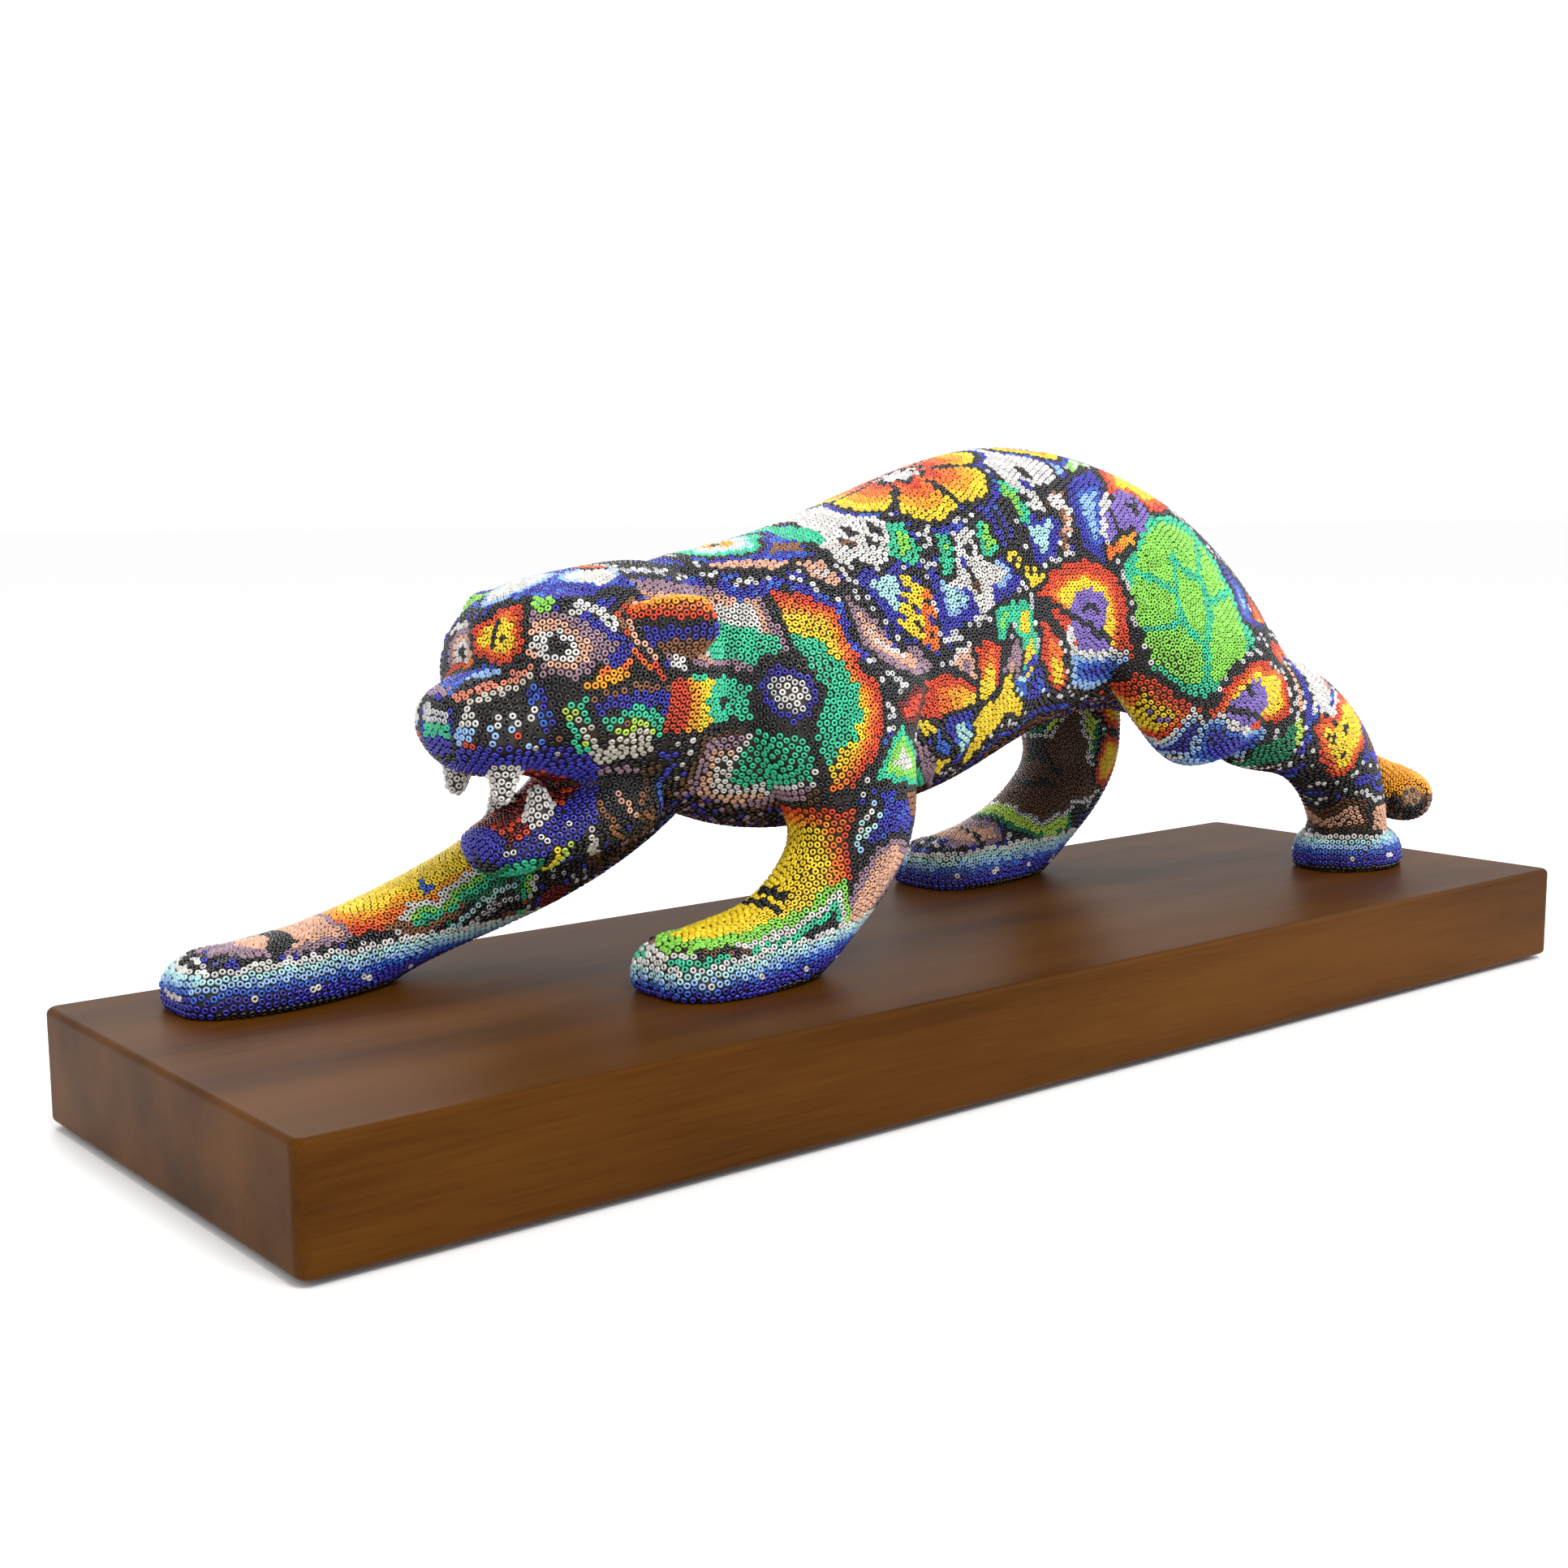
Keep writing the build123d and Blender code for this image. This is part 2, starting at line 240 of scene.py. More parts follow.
COLOURS = {
    "black": (0.010, 0.010, 0.013), "cobalt": (0.026, 0.026, 0.36), "blue": (0.03, 0.12, 0.55),
    "sky": (0.30, 0.50, 0.80), "aqua": (0.45, 0.75, 0.76), "teal": (0.03, 0.56, 0.31),
    "emerald": (0.005, 0.20, 0.09), "lime": (0.26, 0.68, 0.08), "leaf": (0.50, 0.72, 0.08),
    "yellow": (0.92, 0.66, 0.02), "amber": (0.92, 0.38, 0.01), "orange": (0.84, 0.17, 0.01),
    "ember": (0.64, 0.05, 0.01), "red": (0.16, 0.006, 0.005), "maroon": (0.06, 0.003, 0.004),
    "white": (0.72, 0.70, 0.67), "silver": (0.60, 0.60, 0.62), "peach": (0.75, 0.42, 0.28),
    "salmon": (0.75, 0.25, 0.16), "mauve": (0.32, 0.20, 0.26), "purple": (0.22, 0.14, 0.50),
    "copper": (0.25, 0.10, 0.04), "brown": (0.10, 0.04, 0.015), "cream": (0.60, 0.56, 0.48),
}
NAMES = list(COLOURS)
# Rows where beads of several colours are strung in turn.
MIXES = {
    "dots": ["white", "black", "black", "silver", "black"],
    "night": ["black", "black", "black", "cobalt"],
    "deep": ["cobalt", "cobalt", "cobalt", "blue"],
    "bark": ["brown", "black", "brown", "copper", "black"],
    "grit": ["black", "black", "brown", "black", "copper"],
    # mostly black with some mauve, cobalt and brown: the chest's dotted rows, made darker as painted shade
    # on the underside
    "dusk": ["black", "black", "mauve", "black", "cobalt", "brown"],
    "gum": ["maroon", "red", "maroon", "red", "ember"],
    "fire": ["copper", "ember", "orange"],
    "lace": ["white", "aqua", "white", "sky"],
    "mixed": ["copper", "white", "black", "peach"],
}

SIDE, NEAR, FRONT, ABOVE = (0, 2), (0, 2, 0), (1, 2), (0, 1)


def area(*points):
    return ("area", points)


def row(width, *points):
    """A strip of beads; width is half its own, in millimetres."""
    return ("row", points, width)


def spot(x, z, across, high=None):
    return ("spot", (x, z), (across, high or across))


# A picture is a shape and its colours, each after the depth from the shape's edge where it starts.
# Pictures on the flank are drawn on both sides of the middle plane, and later ones cover earlier ones.
flank = "torso front_left_leg front_right_leg hind_left_leg hind_right_leg"
FLANK = [
    # shoulder flower: a fiery border, four teal petals and a white middle
    (area((-66, 110), (-50, 108), (-43.5, 105.5), (-41.5, 101), (-42, 96), (-43.5, 93), (-40, 89),
         (-38.8, 83), (-40, 76), (-44, 70), (-49, 64), (-66, 64)),
         "-8 dots -6.4 night -5 deep -1.5 black 0 ember 1.8 orange 3.4 amber 4.6 yellow"),
    (area((-60, 99), (-54, 100.5), (-52, 98), (-50, 99), (-49, 95), (-46.5, 94), (-47, 90.5), (-44.2, 89),
         (-46, 86), (-44, 82.5), (-47, 80.5), (-46.5, 77), (-50, 76), (-52, 72.5), (-56, 72), (-60, 80)),
         "0 teal"),
    (area((-88, 112), (-70, 110), (-57.5, 110), (-56.5, 93), (-66, 92), (-76, 92), (-87, 96)),
         "0 mauve 2.4 peach 4 white"),
    (area((-82, 106), (-79, 100), (-74, 95), (-68, 95), (-64, 92.5), (-57.5, 93), (-57.5, 98), (-62, 101),
         (-66, 101.5), (-72, 104), (-78, 107)), "0 teal"),
    (area((-76, 80), (-62, 80.5), (-57, 79), (-53, 71), (-51, 61), (-60, 58), (-72, 60), (-76, 68)),
         "0 brown 2 mauve 4.6 peach 6.4 white"),
    (area((-63.5, 80), (-57.5, 80), (-55, 73), (-54.5, 69), (-57, 66), (-59, 68.5), (-61, 66), (-63, 68),
         (-66, 66.5), (-65.5, 72)), "-1.4 white 0 teal"),
    (area((-90, 92), (-71, 92), (-63, 90), (-62, 81), (-90, 80)), "-1.5 black 0 teal"),
    (area((-90, 91.5), (-74, 91.5), (-77, 86), (-73, 80.5), (-90, 80.5)), "0 yellow"),
    (area((-90, 91.5), (-79.3, 91.5), (-78.5, 80.5), (-90, 80.5)), "0 amber"),
    (area((-90, 91.5), (-81.8, 91.5), (-81, 80.5), (-90, 80.5)), "0 ember"),
    (row(0.9, (-57, 110), (-56.3, 98), (-56, 92)), "0 black"),
    (row(0.9, (-80, 93), (-68, 92), (-62.5, 89)), "0 black"),
    (row(0.9, (-76, 80.5), (-68, 81.5), (-60, 79.5)), "0 black"),
    (row(0.9, (-57, 81), (-54, 72), (-51, 66), (-50, 60)), "0 black"),
    (spot(-71.5, 86, 1.3), "0 black"),
    (spot(-59.3, 87.5, 4.3, 6), "-1.7 black 0 cobalt 1.4 silver 2.5 white"),
    (area((-86, 93.5), (-83.5, 97.5), (-80.5, 93.5)), "-1 black 0 white"),
    # rows above the shoulder
    (row(0.9, (-62, 110), (-52, 112.5), (-46, 110), (-40, 106), (-39.5, 97)), "-2.4 deep 0 dots"),
    (row(0.9, (-62, 114.5), (-52, 114), (-44, 116)), "-1.5 black 0 peach"),
    (area((-45, 114.5), (-37.5, 114.5), (-38, 109), (-43, 110.5)), "-1.5 black 0 peach 1.6 white"),
    (row(0.8, (-52, 117), (-38, 118)), "-1.5 deep 0 copper"),
    (area((-39, 108), (-36, 104.5), (-30, 99), (-22, 94.5), (-18, 91), (-27, 89.5), (-35, 93), (-40, 98)),
         "-1.5 black 0 mauve 1.8 peach 3.2 white"),
    # first wolf, its bars and its blue chest
    (area((-29, 113), (-14, 112), (-14, 93), (-30, 98)), "0 night"),
    (row(0.7, (-14.8, 116), (-15.6, 96)), "0 dots"),
    (area((-37, 117), (-30, 113), (-24, 114), (-20.5, 118), (-21.5, 108), (-26, 100), (-28, 98),
         (-33, 107)), "-2.8 night -1.4 dots 0 cobalt 2.6 aqua"),
    (area((-36.5, 119), (-34.5, 112), (-31, 115.5), (-27.5, 112.5), (-22, 116), (-18, 121), (-17, 126),
         (-24, 127), (-31, 123.5)), "-1.2 black 0 white"),
    (area((-22.5, 116), (-17, 123), (-13.5, 123), (-14, 117), (-18, 113.5)), "0 teal 1.6 lime"),
    (area((-41, 119.5), (-35, 118), (-32, 121.5), (-39, 122.5)), "0 teal"),
    (spot(-29.5, 118.5, 1.9, 1.1), "0 grit"),
    (spot(-26.6, 121, 1.2), "0 black"),
    (spot(-24.3, 118.8, 1.2), "0 black"),
    (spot(-21, 121.5, 1.4), "0 black"),
    # second wolf
    (area((-15.5, 112), (-9, 113), (-3, 109), (-2.5, 103), (-9, 99.5), (-15.5, 97.5)),
         "-1.4 dots 0 cobalt 3 sky 4.2 aqua"),
    (area((0, 117), (7.5, 117), (14, 110), (3, 104), (0.5, 108)), "-1.4 dots 0 cobalt 2.4 sky 3.6 white"),
    (area((-10.5, 109), (-6, 113), (-6.5, 118), (-4.5, 121.5), (2, 121.5), (4, 117), (1.5, 114.5), (7, 111),
         (2, 108.5), (3.5, 103), (-3.5, 103), (-4.5, 107.5)), "0 white"),
    (area((-12, 111), (-7.5, 120.5), (-4.5, 121), (-6, 116), (-9, 111)), "-1 black 0 teal 1.3 lime"),
    (area((2, 116), (3, 120.5), (7, 125), (9.5, 123.5), (8.5, 117), (4, 114.5)),
         "-1 black 0 teal 1.4 lime"),
    (row(0.9, (-3.6, 112.5), (-2.2, 108)), "0 grit"),
    (spot(-4.3, 114.2, 1.2), "0 cobalt"),
    (spot(-1.4, 116.2, 1.4), "0 black"),
    (spot(-7, 113.2, 1.0), "0 black"),
    # third wolf
    (area((15, 124), (20, 124), (29.5, 127), (29.5, 122), (23, 112.5), (20, 110), (17, 117)),
         "-2.8 night -1.4 dots 0 cobalt 2.6 aqua"),
    (area((31, 139), (42, 139.5), (48, 137), (41, 132), (33, 130.5)), "-1.4 black 0 cobalt 2 sky"),
    (area((19.5, 128), (20, 137.5), (27, 141), (38, 139), (37, 134), (31, 131), (27, 131), (28.5, 127),
         (24, 124.5)), "-1.2 black 0 white"),
    (area((27, 130), (38.5, 131), (36, 127), (31, 124), (28.5, 126)), "-1.4 black 0 grit 1.2 white"),
    (area((15, 130), (19, 133.5), (21.5, 130), (20.5, 123), (17, 122)), "0 teal 1.4 lime"),
    (spot(28, 134.5, 1.5), "0 black"),
    (spot(25, 131.3, 1.2), "0 cobalt"),
    (spot(22, 128.6, 1.2), "0 black"),
    (area((43, 132.5), (46, 137.5), (53, 140), (54.5, 137), (50, 134)),
         "-2.8 night -1.4 dots 0 lime 1.4 white"),
    (row(0.8, (8.6, 127), (9.6, 118)), "-1.5 black 0 cobalt"),
    (row(0.8, (12, 129), (12.6, 120)), "-1.5 black 0 deep"),
    (row(0.8, (15, 128), (16, 116)), "-1.5 black 0 dots"),
    # petals of the sunburst below, and what lies between them
    (area((-13.5, 91), (-11, 95), (-6, 96), (-4, 92), (-1.5, 85), (-3, 83), (-9, 86.5)),
         "-1.5 black 0 white 1.6 peach 2.8 mauve"),
    (area((-24, 87), (-18, 89), (-12, 89), (-6.5, 86.5), (-1.5, 83.5), (1.5, 80), (-4, 79), (-12, 78),
         (-19, 79.5), (-24, 82)), "-1.5 black 0 ember"),
    (area((-17, 86.5), (-12, 87), (-2, 83.5), (1.5, 80), (-12, 79.5), (-16, 82)), "0 orange"),
    (area((-13, 85), (-8, 86), (-2, 83.5), (1.5, 80), (-9, 80)), "0 amber"),
    (area((-8, 84.5), (-2, 83.5), (1.5, 80), (-6, 80)), "0 yellow"),
    (area((-4.8, 94), (1.7, 98.5), (4.2, 92), (4.7, 87), (3.2, 84), (0, 80.5), (-2.2, 85), (-3.2, 90)),
         "-1.5 black 0 ember"),
    (area((-3, 92), (1.2, 94.5), (3.2, 88), (1.5, 83), (-2, 86)), "0 orange"),
    (area((-2.4, 87.5), (0.6, 91), (3, 88), (2.4, 83), (0, 80.5), (-1.8, 84)), "0 yellow"),
    (area((2, 96), (2.2, 102), (6, 104.5), (11, 104.5), (9, 101.8), (6.4, 99.6), (4.8, 95.3)),
         "-1.4 black 0 teal 1.5 lime"),
    (area((9.5, 101), (13, 103.3), (14, 98), (11.3, 96.5)), "-1.4 teal 0 yellow"),
    (area((12.2, 94), (15, 96.3), (16, 92), (12.8, 90)), "-1.4 teal 0 yellow"),
    (area((13.2, 87), (17, 90.6), (17, 88), (14.5, 86.5)), "-1.4 deep 0 yellow"),
    (area((4.5, 88), (9, 96), (11.5, 92), (12, 86), (8, 84.5)), "-1.4 black 0 mauve 2.2 peach"),
    (area((10, 84), (12, 87.5), (18.5, 83.5), (18.5, 79), (12, 80.5)), "0 aqua"),
    (row(0.9, (11, 86), (18, 82.6)), "0 blue"),
    (area((18, 89), (22, 90), (29, 84.5), (23, 81.5), (17.5, 80.5)), "-1 black 0 cobalt 2.6 blue"),
    (area((23, 86), (29, 84.7), (24, 82.6)), "0 aqua"),
    (area((-12, 79), (-4, 80.5), (3, 76.5), (2.2, 67.5), (-2, 66.5), (-8, 72)),
         "-1.4 black 0 cobalt 2.2 blue 3.2 aqua"),
    (area((0, 80.5), (3, 82), (6, 84.5), (7, 88), (9.3, 87), (10, 83.5), (18, 79.5), (17, 77.5), (10.5, 78),
         (8, 75), (5.5, 70), (4, 66.5), (1.5, 69), (1.8, 74), (-1, 77)), "-1.2 black 0 yellow"),
    (area((1.2, 82), (5, 85), (6.4, 82)), "0 black"),
    (spot(-0.2, 80.8, 1.2), "0 black"),
    (area((18, 100), (21, 102.7), (27, 96), (32, 89), (33.5, 82.5), (30, 82.5), (25, 85.5), (19.5, 91)),
         "-1.5 black 0 ember"),
    (area((21, 97), (28, 91), (32.5, 83), (27, 85.5), (22, 90)), "0 orange"),
    (area((23.5, 91), (28, 89.5), (32.5, 83), (27, 85.5)), "0 yellow"),
    (row(1.2, (19.5, 103), (30, 98.7)), "-1.3 black 0 orange"),
    (row(1.2, (25, 100.8), (30.5, 98.5)), "0 yellow"),
    (row(1.0, (-14, 76), (-10, 72), (-4, 69)), "-1.4 black 0 blue"),
    (area((-11, 68.5), (-3.5, 69), (-6, 64.5)), "-1.4 black 0 yellow"),
    (row(1.2, (-23, 79), (-16, 76.5)), "0 yellow"),
    (row(1.6, (-21, 74), (-12, 68), (-5, 62)), "0 mauve"),
    (row(1.2, (-15, 66), (-8, 61.5)), "0 teal"),
    # the big leaf on the haunch
    (spot(68.5, 102.5, 21.5, 22.8), "-2.8 dots -1.4 black 0 teal 2.8 lime"),
    (row(1.1, (66, 113.7), (68.5, 111), (71.5, 109.6), (74.3, 108.7), (76, 105), (75, 101), (72, 96),
         (69, 91.5), (66, 95), (64, 99), (65.3, 104), (65, 109), (66, 113.7)), "0 teal"),
    (row(1.0, (49, 112), (58, 108.5), (65, 105)), "0 teal"),
    (row(1.0, (51, 96), (60, 97), (64, 98.2)), "0 teal"),
    (row(1.0, (74, 109), (78, 114.5), (83, 121)), "0 teal"),
    (row(1.0, (76, 102), (84, 104), (91, 106)), "0 teal"),
    (row(1.0, (69, 91), (69.5, 80)), "0 teal"),
    # purple hearts under fiery arches
    (area((16, 107), (22, 110.5), (28, 113.3), (34, 113.8), (40, 112.5), (45, 109.5), (48.5, 103),
         (50.5, 95), (52.5, 86), (36, 85), (28, 96)), "-2.8 dots -1.5 black 0 ember 2.8 orange 4.2 yellow"),
    (area((28.3, 102), (31, 106.3), (36, 107), (41, 105), (42.2, 101), (42, 97), (45.5, 93), (48, 91),
         (42, 90.5), (34, 92), (30, 98)), "0 purple"),
    (area((30, 93), (34, 90.8), (50, 90.5), (54, 84), (46, 81.5), (36, 83.5)), "0 sky 1.6 blue 3.2 cobalt"),
    (row(1.0, (28.8, 97), (32, 92.3), (38, 90.8), (49, 90.8)), "0 white"),
    (row(0.8, (33.2, 101.3), (35.6, 103), (38.7, 102)), "0 black"),
    (row(0.8, (18, 105.5), (28, 101), (36, 98), (45, 94)), "0 black"),
    (area((35, 127), (38, 131.5), (44, 133.5), (53, 135), (50, 128), (46, 124), (44, 117), (42, 113),
         (35.5, 116)), "-1.5 black 0 cobalt 2.4 blue 3.6 sky"),
    (area((51, 129), (56, 134.5), (64, 137), (73, 136), (81, 129), (77, 125.5), (66, 125), (62, 128)),
         "-1.5 black 0 ember 1.5 orange 2.8 yellow"),
    (area((44, 117.5), (45, 124), (51, 128), (56, 130.5), (62.5, 129), (63.5, 124), (57, 119.5),
         (50, 117.5)), "0 purple"),
    (row(1.1, (50, 128.8), (45.3, 125), (43.3, 120), (44, 116.5)), "0 white"),
    (row(0.8, (49, 120.5), (49, 126)), "0 black"),
    (row(0.8, (56, 127), (58, 124.8), (60, 127.5)), "0 black"),
    (row(1.2, (43.5, 115), (53, 119)), "-1.3 black 0 amber"),
    (row(1.2, (43.5, 115), (47, 116.5)), "0 orange"),
    (row(2.0, (29, 117.5), (33, 125.5)), "0 mixed"),
    (area((51.5, 87), (55, 85.3), (62, 79.8), (69, 76), (67, 71), (63, 66), (54, 74)),
         "-1.5 black 0 ember 2 orange 3.2 yellow 4.6 purple"),
    (area((67, 77), (72.5, 73), (74, 63), (66, 62), (65, 68)), "0 white 1.4 sky 2.6 cobalt"),
    (area((71.5, 75), (75, 81), (80, 85), (86, 88), (96, 86.5), (104, 83.5), (104.5, 74), (99, 70),
         (90, 70), (80, 69)), "-2.8 dots -1.5 black 0 ember 1.9 orange 3.2 yellow"),
    (area((77.5, 77.5), (83, 82), (87.5, 83), (91, 79.5), (93.5, 75.5), (89.5, 73), (86, 69.5), (80, 71),
         (76, 74.5)), "0 purple"),
    (area((70.5, 74), (78, 72.8), (86, 69.8), (97, 70), (96, 62), (84, 59.5), (73, 61.5)),
         "0 sky 1.5 blue 2.8 cobalt"),
    (row(1.0, (75, 74.7), (80, 71.3), (87, 69.4)), "0 white"),
    (row(0.8, (83, 82), (85.5, 78.5)), "0 black"),
    (row(0.8, (77.5, 76.3), (88, 73.3), (98, 70.3)), "0 black"),
    (area((95.5, 63.5), (102, 67.5), (107, 71.5), (111, 68), (111, 60), (97, 58.5)), "-1.4 dots 0 emerald"),
    (row(1.1, (107.3, 70.5), (109.7, 63)), "0 leaf"),
    # rump
    (area((91, 113), (104, 105), (106, 97), (96, 95), (89.5, 97), (92, 104)),
         "-1.4 black 0 cobalt 2.4 blue 4 sky"),
    (area((95, 92), (105, 90), (106, 85), (96, 87.5)), "-2.8 dots -1.4 black 0 ember 1.6 orange"),
    (area((106, 104), (118, 98), (126, 88), (114, 84), (108, 94)),
         "-2.8 dots -1.4 black 0 ember 2 orange 4 yellow"),
    (area((-34, 84), (-27, 88), (-22, 86), (-24, 80), (-32, 79)), "-1.4 black 0 red 1.8 ember"),
]
# Yellow and orange bars beside the first wolf, and short ones before the third.
for k in range(4):
    left, right = (-22 - 1.4 * k, 110.2 - 3.1 * k), (-17.2, 106.6 - 3.7 * k)
    middle = ((left[0] + right[0]) / 2, (left[1] + right[1]) / 2)
    FLANK += [(row(1.2, left, right), "0 orange"), (row(1.2, left, middle), "0 yellow")]
    across, up = 10.4 + 1.9 * k, 115 - 2 * k
    FLANK.append((row(1.1, (across, up), (across + 2.4, up + 0.9)), "-1.3 black 0 yellow"))

# Dark lines that part the petals of the big flower on the back.
turns = [(math.pi / 2 - 0.35 + k * math.pi) * 2 / 7 for k in range(7)]
partings = [
    (row(0.9, *[(1 + r * math.cos(a), 7 + r * math.sin(a)) for r in (9, 18)]), "0 black")
    for a in turns
]
# Flowers along the back, seen from above: middle, radius, petals and turn.
BACK = [
    (("flower", (1, 7), 21.5, 7, 0.35),
     "-3 deep -1.5 black 0 yellow 3.4 amber 7 orange 11 ember 14 black 16 white"),
    *partings,
    (("flower", (-53, 8), 11, 5, 0.0), "-3 deep -1.5 black 0 teal 2 aqua 4 white 6.5 amber 9 black"),
    (("flower", (42, 8), 12, 5, 0.5), "-3 deep -1.5 black 0 yellow 3 amber 5 white 8 black"),
    (("flower", (84, 8), 13, 6, 0.5), "-3 deep -1.5 black 0 aqua 3 white 6 mauve 10 amber"),
]
# Pictures on one leg, or on the tail, seen from the side.
LIMBS = {
    "front_left_leg": [
        (area((-52, 66), (-40, 68), (-26, 62), (-28, 50), (-44, 44), (-50, 54)), "0 night 2 deep"),
        (row(1.0, (-51, 60), (-45, 65), (-41, 70), (-37, 76)), "0 dots"),
        (row(1.0, (-41, 62.5), (-43.3, 58.5), (-44, 53), (-45.5, 49)), "-1.5 black 0 lace"),
        (row(0.8, (-39.5, 60), (-42, 56)), "0 aqua"),
        (area((-40, 53), (-33, 55), (-26, 50), (-38, 38), (-52, 33), (-50, 38)),
         "-1.5 black 0 mauve 1.8 peach"),
        (area((-31, 65), (-22, 64), (-22, 54), (-29, 60)), "0 copper"),
        (area((-41.5, 68.5), (-36, 76), (-33, 80), (-29, 76), (-22, 70), (-22, 64.5)),
         "-1.5 black 0 teal 1.7 lime 3.4 white"),
        (area((-45.5, 62), (-45.5, 48), (-50, 38), (-62, 33), (-92, 32), (-92, 44), (-72, 45), (-63, 50),
         (-57, 56), (-54, 62)), "-1.4 black 0 ember 1.6 orange 3 amber 4.2 yellow"),
        (area((-92, 36.5), (-72, 38), (-62, 40), (-55, 42.5), (-51, 46), (-46.5, 47), (-46.5, 20),
         (-92, 20)), "0 lime 1.5 white 2.9 teal 4.2 black"),
        (spot(-62.5, 41.8, 1.2), "0 black"),
        (spot(-59.5, 44, 1.2), "0 black"),
        (row(0.8, (-74, 34.6), (-80, 35.4), (-85, 35)), "0 bark"),
    ],
    "front_right_leg": [
        (area((-96, 66), (-99, 48), (-110, 44), (-116, 41), (-122, 41), (-127, 38.5), (-140, 38),
         (-150, 44), (-120, 70)), "-1.4 black 0 ember 1.2 orange 2.4 amber 3.4 yellow"),
        (area((-127, 38), (-122, 43), (-116, 43.3), (-110, 47), (-100, 51.5), (-92, 56), (-92, 20),
         (-127, 20)), "0 white 1.5 lime 2.8 teal 4.2 emerald 5.8 black"),
        (spot(-117, 45.6, 1.2), "0 blue"),
        (row(0.8, (-128, 38.6), (-119, 37.6), (-110, 41)), "0 copper"),
        (row(0.8, (-121, 32.5), (-112, 37), (-104, 42.6), (-98, 44)), "0 aqua"),
        (row(0.9, (-117, 32.5), (-108, 37), (-101, 41), (-96, 42)), "0 silver"),
        (row(1.2, (-112, 32), (-104, 36.4), (-94, 39.6)), "0 bark"),
        (row(0.8, (-98, 46.5), (-90, 47), (-82, 49)), "0 dots"),
        (area((-90, 42), (-82, 43), (-83, 36), (-90, 38)), "0 red"),
        (area((-82, 50), (-72, 56), (-60, 56), (-62, 48), (-74, 44)), "0 bark"),
        (area((-94, 64), (-80, 74), (-64, 84), (-58, 72), (-70, 60), (-84, 52)),
         "-1.4 dots 0 brown 2 peach 3.6 mauve"),
        (area((-166, 37), (-156, 42), (-138, 42), (-136, 37.5), (-150, 36)), "0 mauve 1.2 peach"),
        (row(0.8, (-154, 37), (-148, 38.6)), "0 black"),
    ],
    # a deer's head
    "hind_right_leg": [
        (area((62, 44), (72, 48), (80, 62), (80, 72), (86, 78), (95, 74), (95, 62), (92, 54), (85, 46),
         (85, 38), (76, 34.5), (64, 39)), "-1.4 black 0 emerald 1.6 leaf"),
        (area((70, 46), (80, 55), (83, 61), (84, 68), (87, 70.5), (89, 65), (91, 60), (92, 53), (99, 52),
         (92, 46), (86, 46), (82, 43), (74, 41), (70.5, 43)), "-1.4 silver 0 brown"),
        (row(0.8, (77, 50), (81, 50.5)), "0 black"),
        (row(0.8, (82.3, 62), (83.5, 53)), "0 black"),
        (area((92, 73), (114, 73), (114, 63), (99, 65.5)),
         "-2.8 dots -1.4 black 0 ember 1.6 amber 3 yellow"),
        (area((95, 58), (98, 63), (105, 61), (110, 56), (99, 48), (94, 50)),
         "-1.4 black 0 ember 1.5 amber 2.8 yellow"),
        (area((43, 36.4), (48, 41), (62, 41), (58, 36)), "0 mauve 1.2 peach"),
        (row(0.8, (52.5, 36), (53.5, 40)), "0 black"),
    ],
    "hind_left_leg": [
        (area((111, 92), (128, 84), (125, 73), (116, 67), (111, 66)), "0 mauve 1.8 peach 3.2 white"),
        (row(1.1, (111.5, 92), (111.5, 62)), "-1.4 dots 0 cobalt"),
        (row(1.0, (108, 90), (108, 74)), "0 peach"),
        (row(1.4, (105.3, 90), (105.3, 71)), "0 dots"),
        (area((113.5, 68), (117, 71.5), (122, 70.5), (128, 76), (138, 76), (142, 66), (136, 60), (133, 54),
         (129, 53), (121, 59)), "-2.8 deep -1.4 black 0 ember 1.6 orange 3 yellow"),
        (row(1.1, (117, 73.5), (122, 71.8), (128, 77)), "0 white"),
        (area((136, 47), (143, 46), (147, 38), (138, 36)), "-1 black 0 brown 1.6 peach"),
        (area((147, 44), (158, 44), (158, 36), (148, 37)), "-1 black 0 peach"),
        (area((138, 67), (150, 66), (152, 57), (139, 58)), "0 cobalt 1.5 brown"),
    ],
    "tail": [
        (area((112, 104), (130, 96), (140, 84), (124, 74)), "-1.4 black 0 cobalt 2.5 blue 4 aqua"),
        (area((140, 90), (152, 84), (162, 68), (150, 60)), "-1.4 black 0 ember 1.8 orange 3.4 yellow"),
        (area((156, 66), (176, 66), (176, 54), (160, 54)), "-2.6 dots -1.2 black 0 teal 2 lime"),
    ],
}
PICTURES = [(flank, SIDE, shape, text) for shape, text in FLANK]
PICTURES += [("torso", ABOVE, shape, text) for shape, text in BACK]
PICTURES += [(name, SIDE, shape, text) for name, drawn in LIMBS.items() for shape, text in drawn]
PICTURES.append(("tail", ABOVE, area((140, -12), (180, -12), (180, -46), (140, -46)),
                 "-1.4 teal 0 ember 2.4 orange 4.4 amber"))
for x, z in [(123, 69), (120.5, 66), (128.5, 67), (123, 64.5), (128.5, 60)]:
    PICTURES.append(("hind_left_leg", SIDE, spot(x, z, 1.1), "0 black"))


def polyline_distance(p, points, closed):
    """From each of p to the nearest place on a line through the points."""
    points = np.asarray(points, float)
    starts, ends = (points, np.roll(points, -1, 0)) if closed else (points[:-1], points[1:])
    best = np.full(len(p), 1e9)
    for a, b in zip(starts, ends):
        along = np.clip(((p - a) @ (b - a)) / max((b - a) @ (b - a), 1e-9), 0, 1)
        best = np.minimum(best, np.hypot(*(p - a - along[:, None] * (b - a)).T))
    return best


